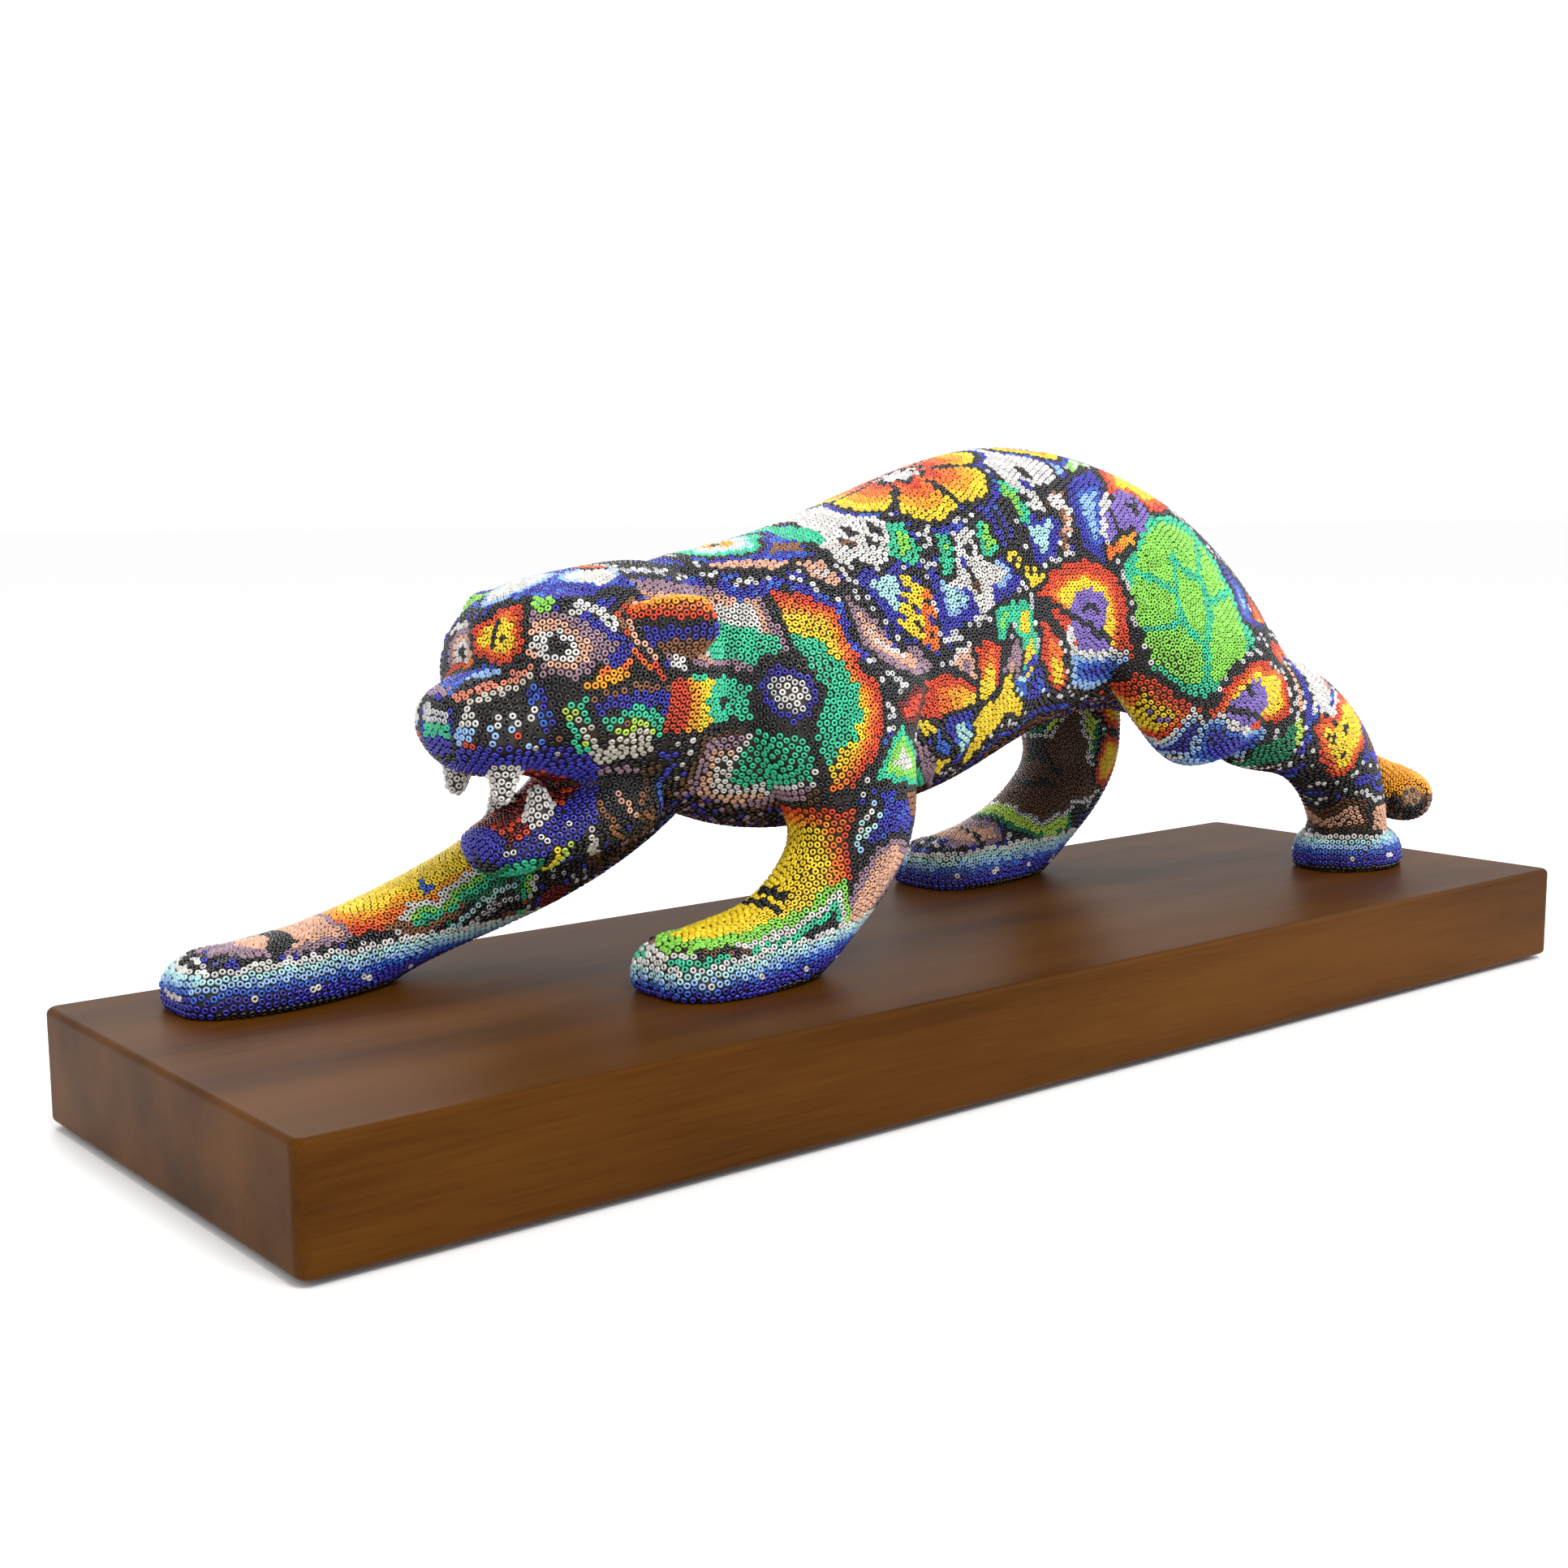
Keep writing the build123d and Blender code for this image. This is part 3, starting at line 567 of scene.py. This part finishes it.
def within(p, points):
    """Which of p are inside a polygon."""
    hit = np.zeros(len(p), bool)
    points = np.asarray(points, float)
    for a, b in zip(points, np.roll(points, -1, 0)):
        spans = (a[1] > p[:, 1]) != (b[1] > p[:, 1])
        rise = b[1] - a[1] if b[1] != a[1] else 1.0
        hit ^= spans & (p[:, 0] < a[0] + (p[:, 1] - a[1]) / rise * (b[0] - a[0]))
    return hit


def depth_in(p, shape):
    """How far each point is inside a shape, in millimetres, negative outside."""
    kind = shape[0]
    if kind == "area":
        return polyline_distance(p, shape[1], True) * np.where(within(p, shape[1]), 1, -1)
    if kind == "row":
        return shape[2] - polyline_distance(p, shape[1], False)
    if kind == "spot":
        ratio = np.hypot(*((p - shape[1]) / shape[2]).T)
        return (1 - ratio) * min(shape[2])
    if kind == "flower":
        out = p - shape[1]
        lobes = np.abs(np.cos(shape[3] / 2 * np.arctan2(out[:, 1], out[:, 0]) + shape[4]))
        return shape[2] * (0.76 + 0.24 * lobes ** 0.5) - np.hypot(*out.T)
    if kind == "above":
        return p[:, 1] - shape[1] - shape[2] * (p[:, 0] - shape[3])


def pick(name, count):
    """The numbers of a colour, or of the colours in a mixed row."""
    choice = [NAMES.index(c) for c in MIXES.get(name, [name])]
    return rng.choice(choice, count)


def bands(text):
    """Each colour's name, after the depth where it starts."""
    words = text.split()
    return list(zip(map(float, words[::2]), words[1::2]))


def paint(colour, reached, depth, here, text):
    """Colours the beads that a shape reaches, and notes how deep they lie in any shape."""
    steps = bands(text)
    for k, (start, name) in enumerate(steps):
        hit = here & (depth >= start)
        if k + 1 < len(steps):
            hit &= depth < steps[k + 1][0]
        colour[hit] = pick(name, hit.sum())
    reached[here] = np.maximum(reached[here], depth[here])


WHISKERS = [-122.6, -119.2, -115.8, -112.4]
HEAD = [
    (SIDE, ("above", 40, 0, 0), "0 night 30 grit 44 night 66 deep"),
    # crown
    (SIDE, area((-120, 104), (-112, 108), (-98, 108.5), (-90, 110.5), (-80, 109), (-80, 122), (-124, 122)),
         "-1.4 black 0 deep"),
    (ABOVE, spot(-104, 9, 6.5, 5), "-1.4 sky 0 white"),
    (ABOVE, spot(-92, 1, 5, 3.5), "-1.4 sky 0 white"),
    (ABOVE, spot(-84, 8, 6), "-1.4 black 0 ember 2 orange"),
    (SIDE, area((-97, 111), (-90, 113.5), (-86, 113), (-91, 110.5)), "0 white"),
    (SIDE, row(0.9, (-109, 104.8), (-107, 108)), "0 lime"),
    # rows under the eye
    (SIDE, row(0.8, (-104, 88.7), (-99, 90), (-95, 91.5), (-88, 90), (-84, 89)), "-1.5 black 0 copper"),
    (SIDE, row(1.1, (-104.3, 91.4), (-96.5, 93.6)), "-1.2 black 0 amber"),
    (SIDE, row(1.1, (-102, 94), (-94.3, 96.2)), "0 orange"),
    (SIDE, row(1.6, (-101, 87), (-95, 88.3), (-86, 87.5)), "0 cobalt"),
    # cheek
    (SIDE, area((-111, 88), (-105, 88.6), (-104.3, 86), (-100.5, 80), (-101, 75.5), (-104, 78), (-108, 83)),
         "-1.2 black 0 teal 1.3 leaf 2.6 cream"),
    (SIDE, area((-106, 84.6), (-101, 82), (-98, 79.8), (-93, 83), (-90, 82), (-86.5, 77), (-92, 74.6),
         (-98, 74), (-100, 76), (-104, 81)), "0 cream"),
    (SIDE, row(0.9, (-97.5, 81), (-94, 82.9), (-90, 82.6), (-86, 80)), "0 leaf"),
    (SIDE, row(1.3, (-99.5, 83.6), (-94, 85.6), (-89, 84.2), (-85.5, 79)), "0 teal"),
    (SIDE, row(0.8, (-101, 81.6), (-99.3, 79)), "0 black"),
    (SIDE, row(0.7, (-98, 73), (-93, 74.2), (-86, 76)), "0 black"),
    (SIDE, row(0.8, (-96, 71.8), (-92, 73), (-87, 72)), "0 mauve"),
    # ear root
    (SIDE, row(0.8, (-89, 108), (-93.5, 105), (-95, 100), (-92, 96), (-87.5, 92.5)), "-1.2 black 0 fire"),
    (SIDE, row(1.0, (-89, 106), (-92.2, 103), (-92.2, 100), (-89, 96)), "0 peach"),
    # muzzle, whiskers
    (SIDE, area((-109, 92), (-114, 96), (-130, 95), (-130, 73), (-108, 75)), "0 black"),
    (SIDE, row(1.2, (-111, 78.5), (-110.6, 84), (-112.5, 90)), "0 deep"),
    *[(SIDE, row(0.8, (x, 86), (x - 0.9, 82.6)), "0 white") for x in WHISKERS],
    *[(SIDE, row(0.8, (x - 0.9, 82.6), (x - 1.6, 79.6)), "0 sky") for x in WHISKERS],
    (SIDE, spot(-117, 81, 1.0), "0 ember"),
    (SIDE, spot(-122.5, 79.5, 1.0), "0 ember"),
    # throat
    (SIDE, row(0.8, (-98, 60), (-96, 56), (-92, 53.5)), "-1.5 black 0 cream"),
    (SIDE, row(0.8, (-95, 65), (-92, 60), (-88, 57)), "-1.5 black 0 copper"),
    (SIDE, row(0.8, (-91, 68), (-88.5, 64), (-85, 61)), "-1.5 black 0 peach"),
    # lips and lower jaw
    (SIDE, row(1.0, (-104, 60), (-104.6, 56), (-105.5, 52)), "-1.6 leaf 0 yellow"),
    (SIDE, area((-112, 58), (-107, 58.5), (-106.5, 50), (-116, 49)), "-1 black 0 emerald 1.2 teal"),
    (SIDE, row(0.8, (-100.4, 76), (-97, 72.3), (-94.6, 70)), "0 leaf"),
    (SIDE, row(3.0, (-130, 76), (-116, 76.2), (-108, 76), (-102.4, 74), (-97, 70), (-98, 65), (-103, 60.8),
         (-110, 58.4), (-120, 57)), "0 cobalt"),
    (SIDE, spot(-107, 77, 0.9), "0 silver"),
    (SIDE, spot(-112, 78.3, 0.9), "0 silver"),
    (SIDE, spot(-101.5, 62, 0.9), "0 silver"),
    (SIDE, spot(-107.5, 59, 0.9), "0 silver"),
    (SIDE, spot(-113.5, 56.5, 0.9), "0 silver"),
    # the far side of the muzzle has the same lips, so only the face itself turns towards the left
    (NEAR, area((-115, 97), (-112.5, 100), (-110.5, 103), (-107, 105), (-102, 106), (-99, 104), (-95, 100),
         (-96, 98), (-100, 96), (-104, 94.6), (-108, 93), (-112, 94)), "-1.3 black 0 mauve"),
    (NEAR, spot(-108.3, 99.3, 7.4, 6.6), "0 mauve 1.8 peach 3.4 white 4.9 black"),
    (NEAR, row(1.2, (-101, 104.6), (-97, 101), (-94.7, 98.5), (-99, 95.4)), "0 cobalt"),
    (NEAR, area((-106.5, 104.6), (-103, 107.4), (-99, 108), (-96.3, 105.8), (-94, 103.5), (-96.5, 101.6),
         (-99, 105), (-103, 105.6)), "0 white"),
    (FRONT, spot(5.6, 96.8, 6.6, 5.6), "-1.4 black 0 mauve 1.8 peach 3 white 4.3 black"),
    (FRONT, area((2, 102.5), (8, 103.5), (14, 101), (14, 99.5), (8, 102)), "0 white"),
    (FRONT, row(1.6, (-11, 95.6), (-2, 96.4), (4, 93.4), (12, 91)), "0 ember 0.9 orange"),
    (FRONT, row(1.2, (-14, 94.6), (-8, 94.5), (0, 92.4), (12, 88.6)), "-1.2 black 0 deep"),
    (FRONT, row(0.7, (-13, 93.8), (-8, 93.6), (-2, 92.3)), "0 sky"),
    (FRONT, area((0.6, 102.5), (-8, 107.5), (-12, 105), (-14.5, 99.5), (-13.5, 95.6), (-8, 95.4), (0, 97)),
         "-1.3 black 0 ember 1.4 orange 2.4 yellow"),
    (FRONT, spot(-6, 102.5, 1.0), "0 black"),
    (FRONT, spot(-8.5, 100.8, 1.0), "0 black"),
    (FRONT, spot(-5.8, 99.8, 1.0), "0 black"),
    (FRONT, area((8, 92), (-2, 91.5), (-7, 88.5), (-6, 87), (8, 87.5)), "0 deep 1.4 mauve"),
    (FRONT, row(1.1, (-17.4, 95), (-13, 92.5), (-5.5, 89)), "-1.2 black 0 salmon"),
    (FRONT, row(1.0, (-17.6, 92.6), (-14, 91), (-9, 88)), "0 cream"),
    (FRONT, area((-5.4, 86.8), (6.8, 86.8), (8, 81), (6, 76.5), (-4, 77), (-5.6, 82)),
         "-1.4 black 0 cobalt"),
    (FRONT, area((-5, 86.8), (6.4, 86.8), (6.8, 83.6), (-5, 83.6)), "0 silver"),
    (FRONT, area((-5, 83.8), (6.8, 83.8), (6, 80.6), (-4.6, 80.6)), "0 teal"),
]

EAR = "-90 copper 2.5 cobalt 5.5 black 7 ember 8.6 orange 10 amber"
PAW_BANDS = "-9 black 1.8 cobalt 5.2 blue 6.6 sky 8 aqua 9.4 white 10.8 night"


def colour_beads(points, facing, region):
    """A colour number for every bead."""
    colour = pick("night", len(points))
    reached = np.full(len(points), -99.0)
    mirrored = points.copy()
    mirrored[:, 1] = MID - np.abs(points[:, 1] - MID)
    centred = points - (0, MID, 0)
    names = np.array(BODIES + FANGS)[region]
    names[(names == "head") & (points[:, 0] > -86)] = "torso"

    def draw(pictures):
        for where, plane, shape, text in pictures:
            here = np.isin(names, where.split())
            source = mirrored
            if plane == ABOVE:
                here, source = here & (facing[:, 2] > 0.2), points
            if plane == NEAR:
                here = here & (points[:, 1] < MID)
            if plane == FRONT:
                here, source = here & (facing[:, 0] < -0.3) & (points[:, 0] < -104), centred
            paint(colour, reached, depth_in(source[:, plane[:2]], shape), here, text)

    draw(PICTURES)
    body = np.isin(names, flank.split() + ["tail"])
    rest = body & (reached < -1.4)
    reach = reached[rest]
    rows = [("dots", -2.8), ("black", -4.2), ("deep", -5.6), ("black", -7), ("bark", -9)]
    colour[rest] = np.select([reach > low for _, low in rows], [pick(name, len(reach)) for name, _ in rows],
                             pick("grit", len(reach)))
    # Torso beads that face downwards get the mostly black mix: partly the chest's real dotted rows, partly
    # painted shade under the body.
    underside_dots_and_shade_mask = (names == "torso") & (facing[:, 2] < -0.8)
    colour[underside_dots_and_shade_mask] = pick("dusk", underside_dots_and_shade_mask.sum())
    draw([("head", *picture) for picture in HEAD])
    ears = np.isin(names, ["left_ear", "right_ear"])
    paint(colour, reached, depth_in(points[:, SIDE], ("above", 97, 0, 0)), ears, EAR)
    paws = [("front_left_leg", -60, 0.12), ("front_right_leg", -140, 0.03), ("hind_right_leg", 60, 0.05),
            ("hind_left_leg", 150, 0.05)]
    for name, x, slope in paws:
        here = (names == name) & (points[:, 2] < 36 + slope * (points[:, 0] - x))
        paint(colour, reached, depth_in(points[:, SIDE], ("above", TOP, slope, x)), here, PAW_BANDS)
        low = here & (points[:, 2] > TOP + 3.4) & (points[:, 2] < TOP + 5)
        low &= np.sin(points[:, 0] * 0.5) > 0.88
        colour[low] = NAMES.index("white")
    inside = (names == "head") & (points[:, 0] < -91) & (np.abs(centred[:, 1]) < 9.5) & (points[:, 0] > -114)
    roof = (facing[:, 2] < -0.5) & (points[:, 2] > 67) & (points[:, 2] < 80)
    tongue = (facing[:, 2] > 0.35) & (points[:, 2] < 72)
    throat = (facing[:, 0] < -0.4) & (points[:, 2] > 61) & (points[:, 2] < 75)
    mouth = inside & (roof | tongue | throat)
    colour[mouth] = pick("gum", mouth.sum())
    teeth = np.isin(names, FANGS)
    colour[teeth] = NAMES.index("white")
    return colour


# ---------------------------------------------------------------- materials


def principled(name, **values):
    mat = bpy.data.materials.new(name)
    mat.use_nodes = True
    shader = mat.node_tree.nodes["Principled BSDF"]
    for key, value in values.items():
        shader.inputs[key.replace("_", " ")].default_value = value
    return mat, mat.node_tree, shader


def noise(tree, scale, detail, stretch=(1, 1, 1)):
    place = tree.nodes.new("ShaderNodeTexCoord")
    mapping = tree.nodes.new("ShaderNodeMapping")
    mapping.inputs["Scale"].default_value = stretch
    texture = tree.nodes.new("ShaderNodeTexNoise")
    texture.inputs["Scale"].default_value = scale
    texture.inputs["Detail"].default_value = detail
    tree.links.new(place.outputs["Object"], mapping.inputs[0])
    tree.links.new(mapping.outputs[0], texture.inputs["Vector"])
    return texture.outputs["Fac"]


def ramp(tree, source, stops):
    node = tree.nodes.new("ShaderNodeValToRGB")
    while len(node.color_ramp.elements) < len(stops):
        node.color_ramp.elements.new(0.5)
    for element, (place, colour) in zip(node.color_ramp.elements, stops):
        element.position = place
        element.color = (*colour, 1)
    tree.links.new(source, node.inputs[0])
    return node.outputs[0]


def to_range(tree, source, low, high):
    node = tree.nodes.new("ShaderNodeMapRange")
    node.inputs["To Min"].default_value = low
    node.inputs["To Max"].default_value = high
    tree.links.new(source, node.inputs[0])
    return node.outputs[0]


def bump(tree, shader, source, strength, distance):
    node = tree.nodes.new("ShaderNodeBump")
    node.inputs["Strength"].default_value = strength
    node.inputs["Distance"].default_value = distance
    tree.links.new(source, node.inputs["Height"])
    tree.links.new(node.outputs[0], shader.inputs["Normal"])


def bead_material(name, tint):
    base = [min(1.0, c * tint) for c in COLOURS[name]]
    mat, tree, shader = principled(f"bead_{name}_{round(tint * 100)}", Base_Color=(*base, 1),
                                   Coat_Weight=0.5, Coat_Roughness=0.08)
    if name == "silver":
        shader.inputs["Metallic"].default_value = 0.7
    tree.links.new(to_range(tree, noise(tree, 900, 2), 0.12, 0.34), shader.inputs["Roughness"])
    return mat


def wax_material():
    mat, tree, shader = principled("campeche_wax", Roughness=0.55)
    shade = ramp(tree, noise(tree, 220, 4), [(0.3, (0.012, 0.008, 0.006)), (0.7, (0.045, 0.028, 0.016))])
    tree.links.new(shade, shader.inputs["Base Color"])
    bump(tree, shader, noise(tree, 500, 3), 0.4, 0.0005)
    return mat


def walnut_material():
    mat, tree, shader = principled("walnut", IOR=1.12)
    figure = noise(tree, 7, 5, (1, 7, 7))
    fibres = noise(tree, 55, 8, (1, 26, 26))
    mix = tree.nodes.new("ShaderNodeMath")
    mix.operation = "MULTIPLY_ADD"
    mix.inputs[1].default_value = 0.30
    tree.links.new(fibres, mix.inputs[0])
    tree.links.new(figure, mix.inputs[2])
    shade = ramp(tree, mix.outputs[0], [(0.40, (0.036, 0.0115, 0.0010)), (0.62, (0.074, 0.0250, 0.0022)),
                                        (0.85, (0.106, 0.0380, 0.0042))])
    tree.links.new(shade, shader.inputs["Base Color"])
    tree.links.new(to_range(tree, fibres, 0.30, 0.46), shader.inputs["Roughness"])
    bump(tree, shader, fibres, 0.10, 0.0003)
    return mat


def plain_wood(name, dark, light):
    mat, tree, shader = principled(name, Roughness=0.7)
    shade = ramp(tree, noise(tree, 30, 6, (1, 12, 12)), [(0.35, dark), (0.65, light)])
    tree.links.new(shade, shader.inputs["Base Color"])
    bump(tree, shader, noise(tree, 90, 4, (1, 12, 12)), 0.2, 0.0003)
    return mat


def steel_material():
    mat, tree, shader = principled("zinc", Base_Color=(0.55, 0.56, 0.58, 1), Metallic=1.0)
    tree.links.new(to_range(tree, noise(tree, 300, 3), 0.22, 0.45), shader.inputs["Roughness"])
    return mat


def felt_material():
    mat, tree, shader = principled("felt", Roughness=0.95, Sheen_Weight=0.4)
    shade = ramp(tree, noise(tree, 900, 4), [(0.3, (0.010, 0.022, 0.014)), (0.7, (0.03, 0.06, 0.04))])
    tree.links.new(shade, shader.inputs["Base Color"])
    bump(tree, shader, noise(tree, 1500, 3), 0.6, 0.0004)
    return mat


# ---------------------------------------------------------------- pieces


def new_piece(name, verts, faces, materials):
    """A mesh piece from arrays in millimetres; faces are all of one size."""
    mesh = bpy.data.meshes.new(name)
    mesh.vertices.add(len(verts))
    mesh.vertices.foreach_set("co", (verts * MM).astype(np.float32).ravel())
    corners = faces.shape[1]
    mesh.loops.add(faces.size)
    mesh.loops.foreach_set("vertex_index", faces.ravel().astype(np.int32))
    mesh.polygons.add(len(faces))
    mesh.polygons.foreach_set("loop_start", np.arange(0, faces.size, corners, dtype=np.int32))
    mesh.polygons.foreach_set("use_smooth", np.ones(len(faces), bool))
    for mat in materials:
        mesh.materials.append(mat)
    obj = bpy.data.objects.new(name, mesh)
    bpy.context.scene.collection.objects.link(obj)
    mesh.update(calc_edges=True)
    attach(obj, "root")
    return obj


def ring():
    """One bead: a ring about +Z."""
    big = np.arange(AROUND) / AROUND * 2 * math.pi
    small = np.arange(ACROSS) / ACROSS * 2 * math.pi + math.pi / 2
    out = RADIUS + THICK * np.cos(small)[None, :]
    verts = np.stack([out * np.cos(big)[:, None], out * np.sin(big)[:, None],
                      np.broadcast_to(TALL * np.sin(small), (AROUND, ACROSS))], 2).reshape(-1, 3)
    i, j = np.meshgrid(np.arange(AROUND), np.arange(ACROSS), indexing="ij")
    a = i * ACROSS + j
    b = (i + 1) % AROUND * ACROSS + j
    c = (i + 1) % AROUND * ACROSS + (j + 1) % ACROSS
    d = i * ACROSS + (j + 1) % ACROSS
    return verts, np.stack([a, b, c, d], 2).reshape(-1, 4)


def bead_piece(name, points, facing, colour, replaced):
    verts, faces = ring()
    count = len(points)
    size = rng.normal(1, 0.03, count).clip(0.9, 1.1)
    tilt = unit(facing + rng.normal(0, 0.07, (count, 3)))
    side = unit(np.cross(tilt, rng.normal(0, 1, (count, 3))))
    basis = np.stack([side, np.cross(tilt, side), tilt], 1)
    placed = points[:, None] + np.einsum("vk,nkc->nvc", verts, basis) * size[:, None, None]
    quads = faces[None] + (np.arange(count) * len(verts))[:, None, None]
    number = colour * 2 + rng.integers(0, 2, count)
    used, slot_number = np.unique(number, return_inverse=True)
    materials = [bead_materials[k] for k in used]
    obj = new_piece(name, placed.reshape(-1, 3), quads.reshape(-1, 4), materials)
    obj.data.polygons.foreach_set("material_index", np.repeat(slot_number, len(faces)).astype(np.int32))
    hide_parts(*replaced)


def nearest_region(points):
    """The CAD body that each bead lies on."""
    best, region = np.full(len(points), 1e9), np.zeros(len(points), int)
    for k, name in enumerate([b + "_beads" for b in BODIES] + FANGS):
        bm = bmesh.new()
        bm.from_mesh(nodes[name].data)
        tree = BVHTree.FromBMesh(bm)
        bm.free()
        low, high = (np.array(c) * 1000 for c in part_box(name))
        close = ((points > low - 4) & (points < high + 4)).all(1)
        for i in np.flatnonzero(close):
            gap = tree.find_nearest(points[i] * MM)[3]
            if gap < best[i]:
                best[i], region[i] = gap, k
    return region


# ---------------------------------------------------------------- the scene


def camera():
    cam = bpy.data.cameras.new("camera")
    obj = bpy.data.objects.new("camera", cam)
    bpy.context.scene.collection.objects.link(obj)
    obj.location = (-0.3227, -0.3466, 0.1239)
    cam.lens = 45.39
    cam.sensor_width = 36
    cam.shift_x = -0.0021
    cam.shift_y = 0.0098
    obj.rotation_euler = (math.radians(90 - 8.07), math.radians(0.36), math.radians(-39.33))
    bpy.context.scene.camera = obj


def light(name, place, size, power):
    data = bpy.data.lights.new(name, "AREA")
    data.size = size
    data.energy = power
    obj = bpy.data.objects.new(name, data)
    obj.location = place
    obj.rotation_euler = (Vector((0, 0, 0.06)) - Vector(place)).to_track_quat("-Z", "Y").to_euler()
    bpy.context.scene.collection.objects.link(obj)


def floor():
    bpy.ops.mesh.primitive_plane_add(size=60, location=(0, 0, -0.0002))
    plane = bpy.context.object
    plane.name = "floor"
    mat, tree, shader = principled("floor", Base_Color=(0.985, 0.985, 0.985, 1), Roughness=0.7)
    plane.data.materials.append(mat)


whole = joined([b + end for b in BODIES for end in ("_beads", "_core")] + FANGS + PEGS)
skin, skin_tris = largest_part(*read_mesh(remeshed(whole, VOXEL)))
skin = smoothed(skin, skin_tris, 4, 0.5, 0.52)
skin = smoothed(sculpt(skin, skin_tris), skin_tris, 1, 0.5, 0.52)
at_verts = smoothed(vertex_normals(skin, skin_tris), skin_tris, 2)
at_faces = unit(at_verts[skin_tris].mean(1))
tree = BVHTree.FromPolygons(skin.tolist(), skin_tris.tolist())
above = skin[skin_tris].mean(1)[:, 2] > TOP + 0.8
skin_area = np.linalg.norm(face_normals(skin, skin_tris), axis=1)[above].sum() / 2
bead_count = int(skin_area / (PITCH ** 2 * math.sqrt(3) / 2))
start_points = seeds(whole)
if len(start_points) > bead_count:
    start_points = start_points[np.sort(rng.choice(len(start_points), bead_count, replace=False))]
points, facing = relax(start_points, tree, at_faces, ROUNDS)

region = nearest_region(points)
colour = colour_beads(points, facing, region)
bead_materials = [bead_material(name, tint) for name in NAMES for tint in (0.88, 1.1)]

for k, name in enumerate(BODIES + FANGS):
    mine = np.flatnonzero(region == k)
    mine = mine[np.argsort(points[mine, 0], kind="stable")]
    parts = np.array_split(mine, max(1, math.ceil(len(mine) / MOST_BEADS)))
    for number, part in enumerate(parts, 1):
        white = name in FANGS
        if len(part):
            bead_piece(f"{name}_glass_{number}", points[part], facing[part], colour[part],
                       [name if white else name + "_beads"])

wax = new_piece("wax_coat", skin - at_verts * WAX_DEPTH, skin_tris, [wax_material()])
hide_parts(*[b + "_beads" for b in BODIES])

finishes = {
    "plinth_board": walnut_material(), "paw_screws": steel_material(), "paw_washers": steel_material(),
    "felt_pads": felt_material(),
}
core_wood = plain_wood("bare_wood", (0.30, 0.17, 0.08), (0.50, 0.32, 0.17))
peg_wood = plain_wood("peg_wood", (0.42, 0.28, 0.15), (0.60, 0.44, 0.26))
finishes.update({b + "_core": core_wood for b in BODIES})
finishes.update({p: peg_wood for p in PEGS})
for name, mat in finishes.items():
    for slot_ in nodes[name].material_slots:
        slot_.link = "OBJECT"
        slot_.material = mat

camera()
floor()
light("key", (-0.15, -0.75, 0.95), 0.4, 7.5)
light("fill", (0.8, -0.5, 0.6), 0.6, 2.0)
light("back", (0.1, 0.9, 0.8), 0.5, 3.5)
world = bpy.data.worlds.new("world")
bpy.context.scene.world = world
world.use_nodes = True
world.node_tree.nodes["Background"].inputs[0].default_value = (1.0, 1.0, 1.0, 1)
world.node_tree.nodes["Background"].inputs[1].default_value = 1.0

bpy.context.scene.view_settings.view_transform = "Standard"
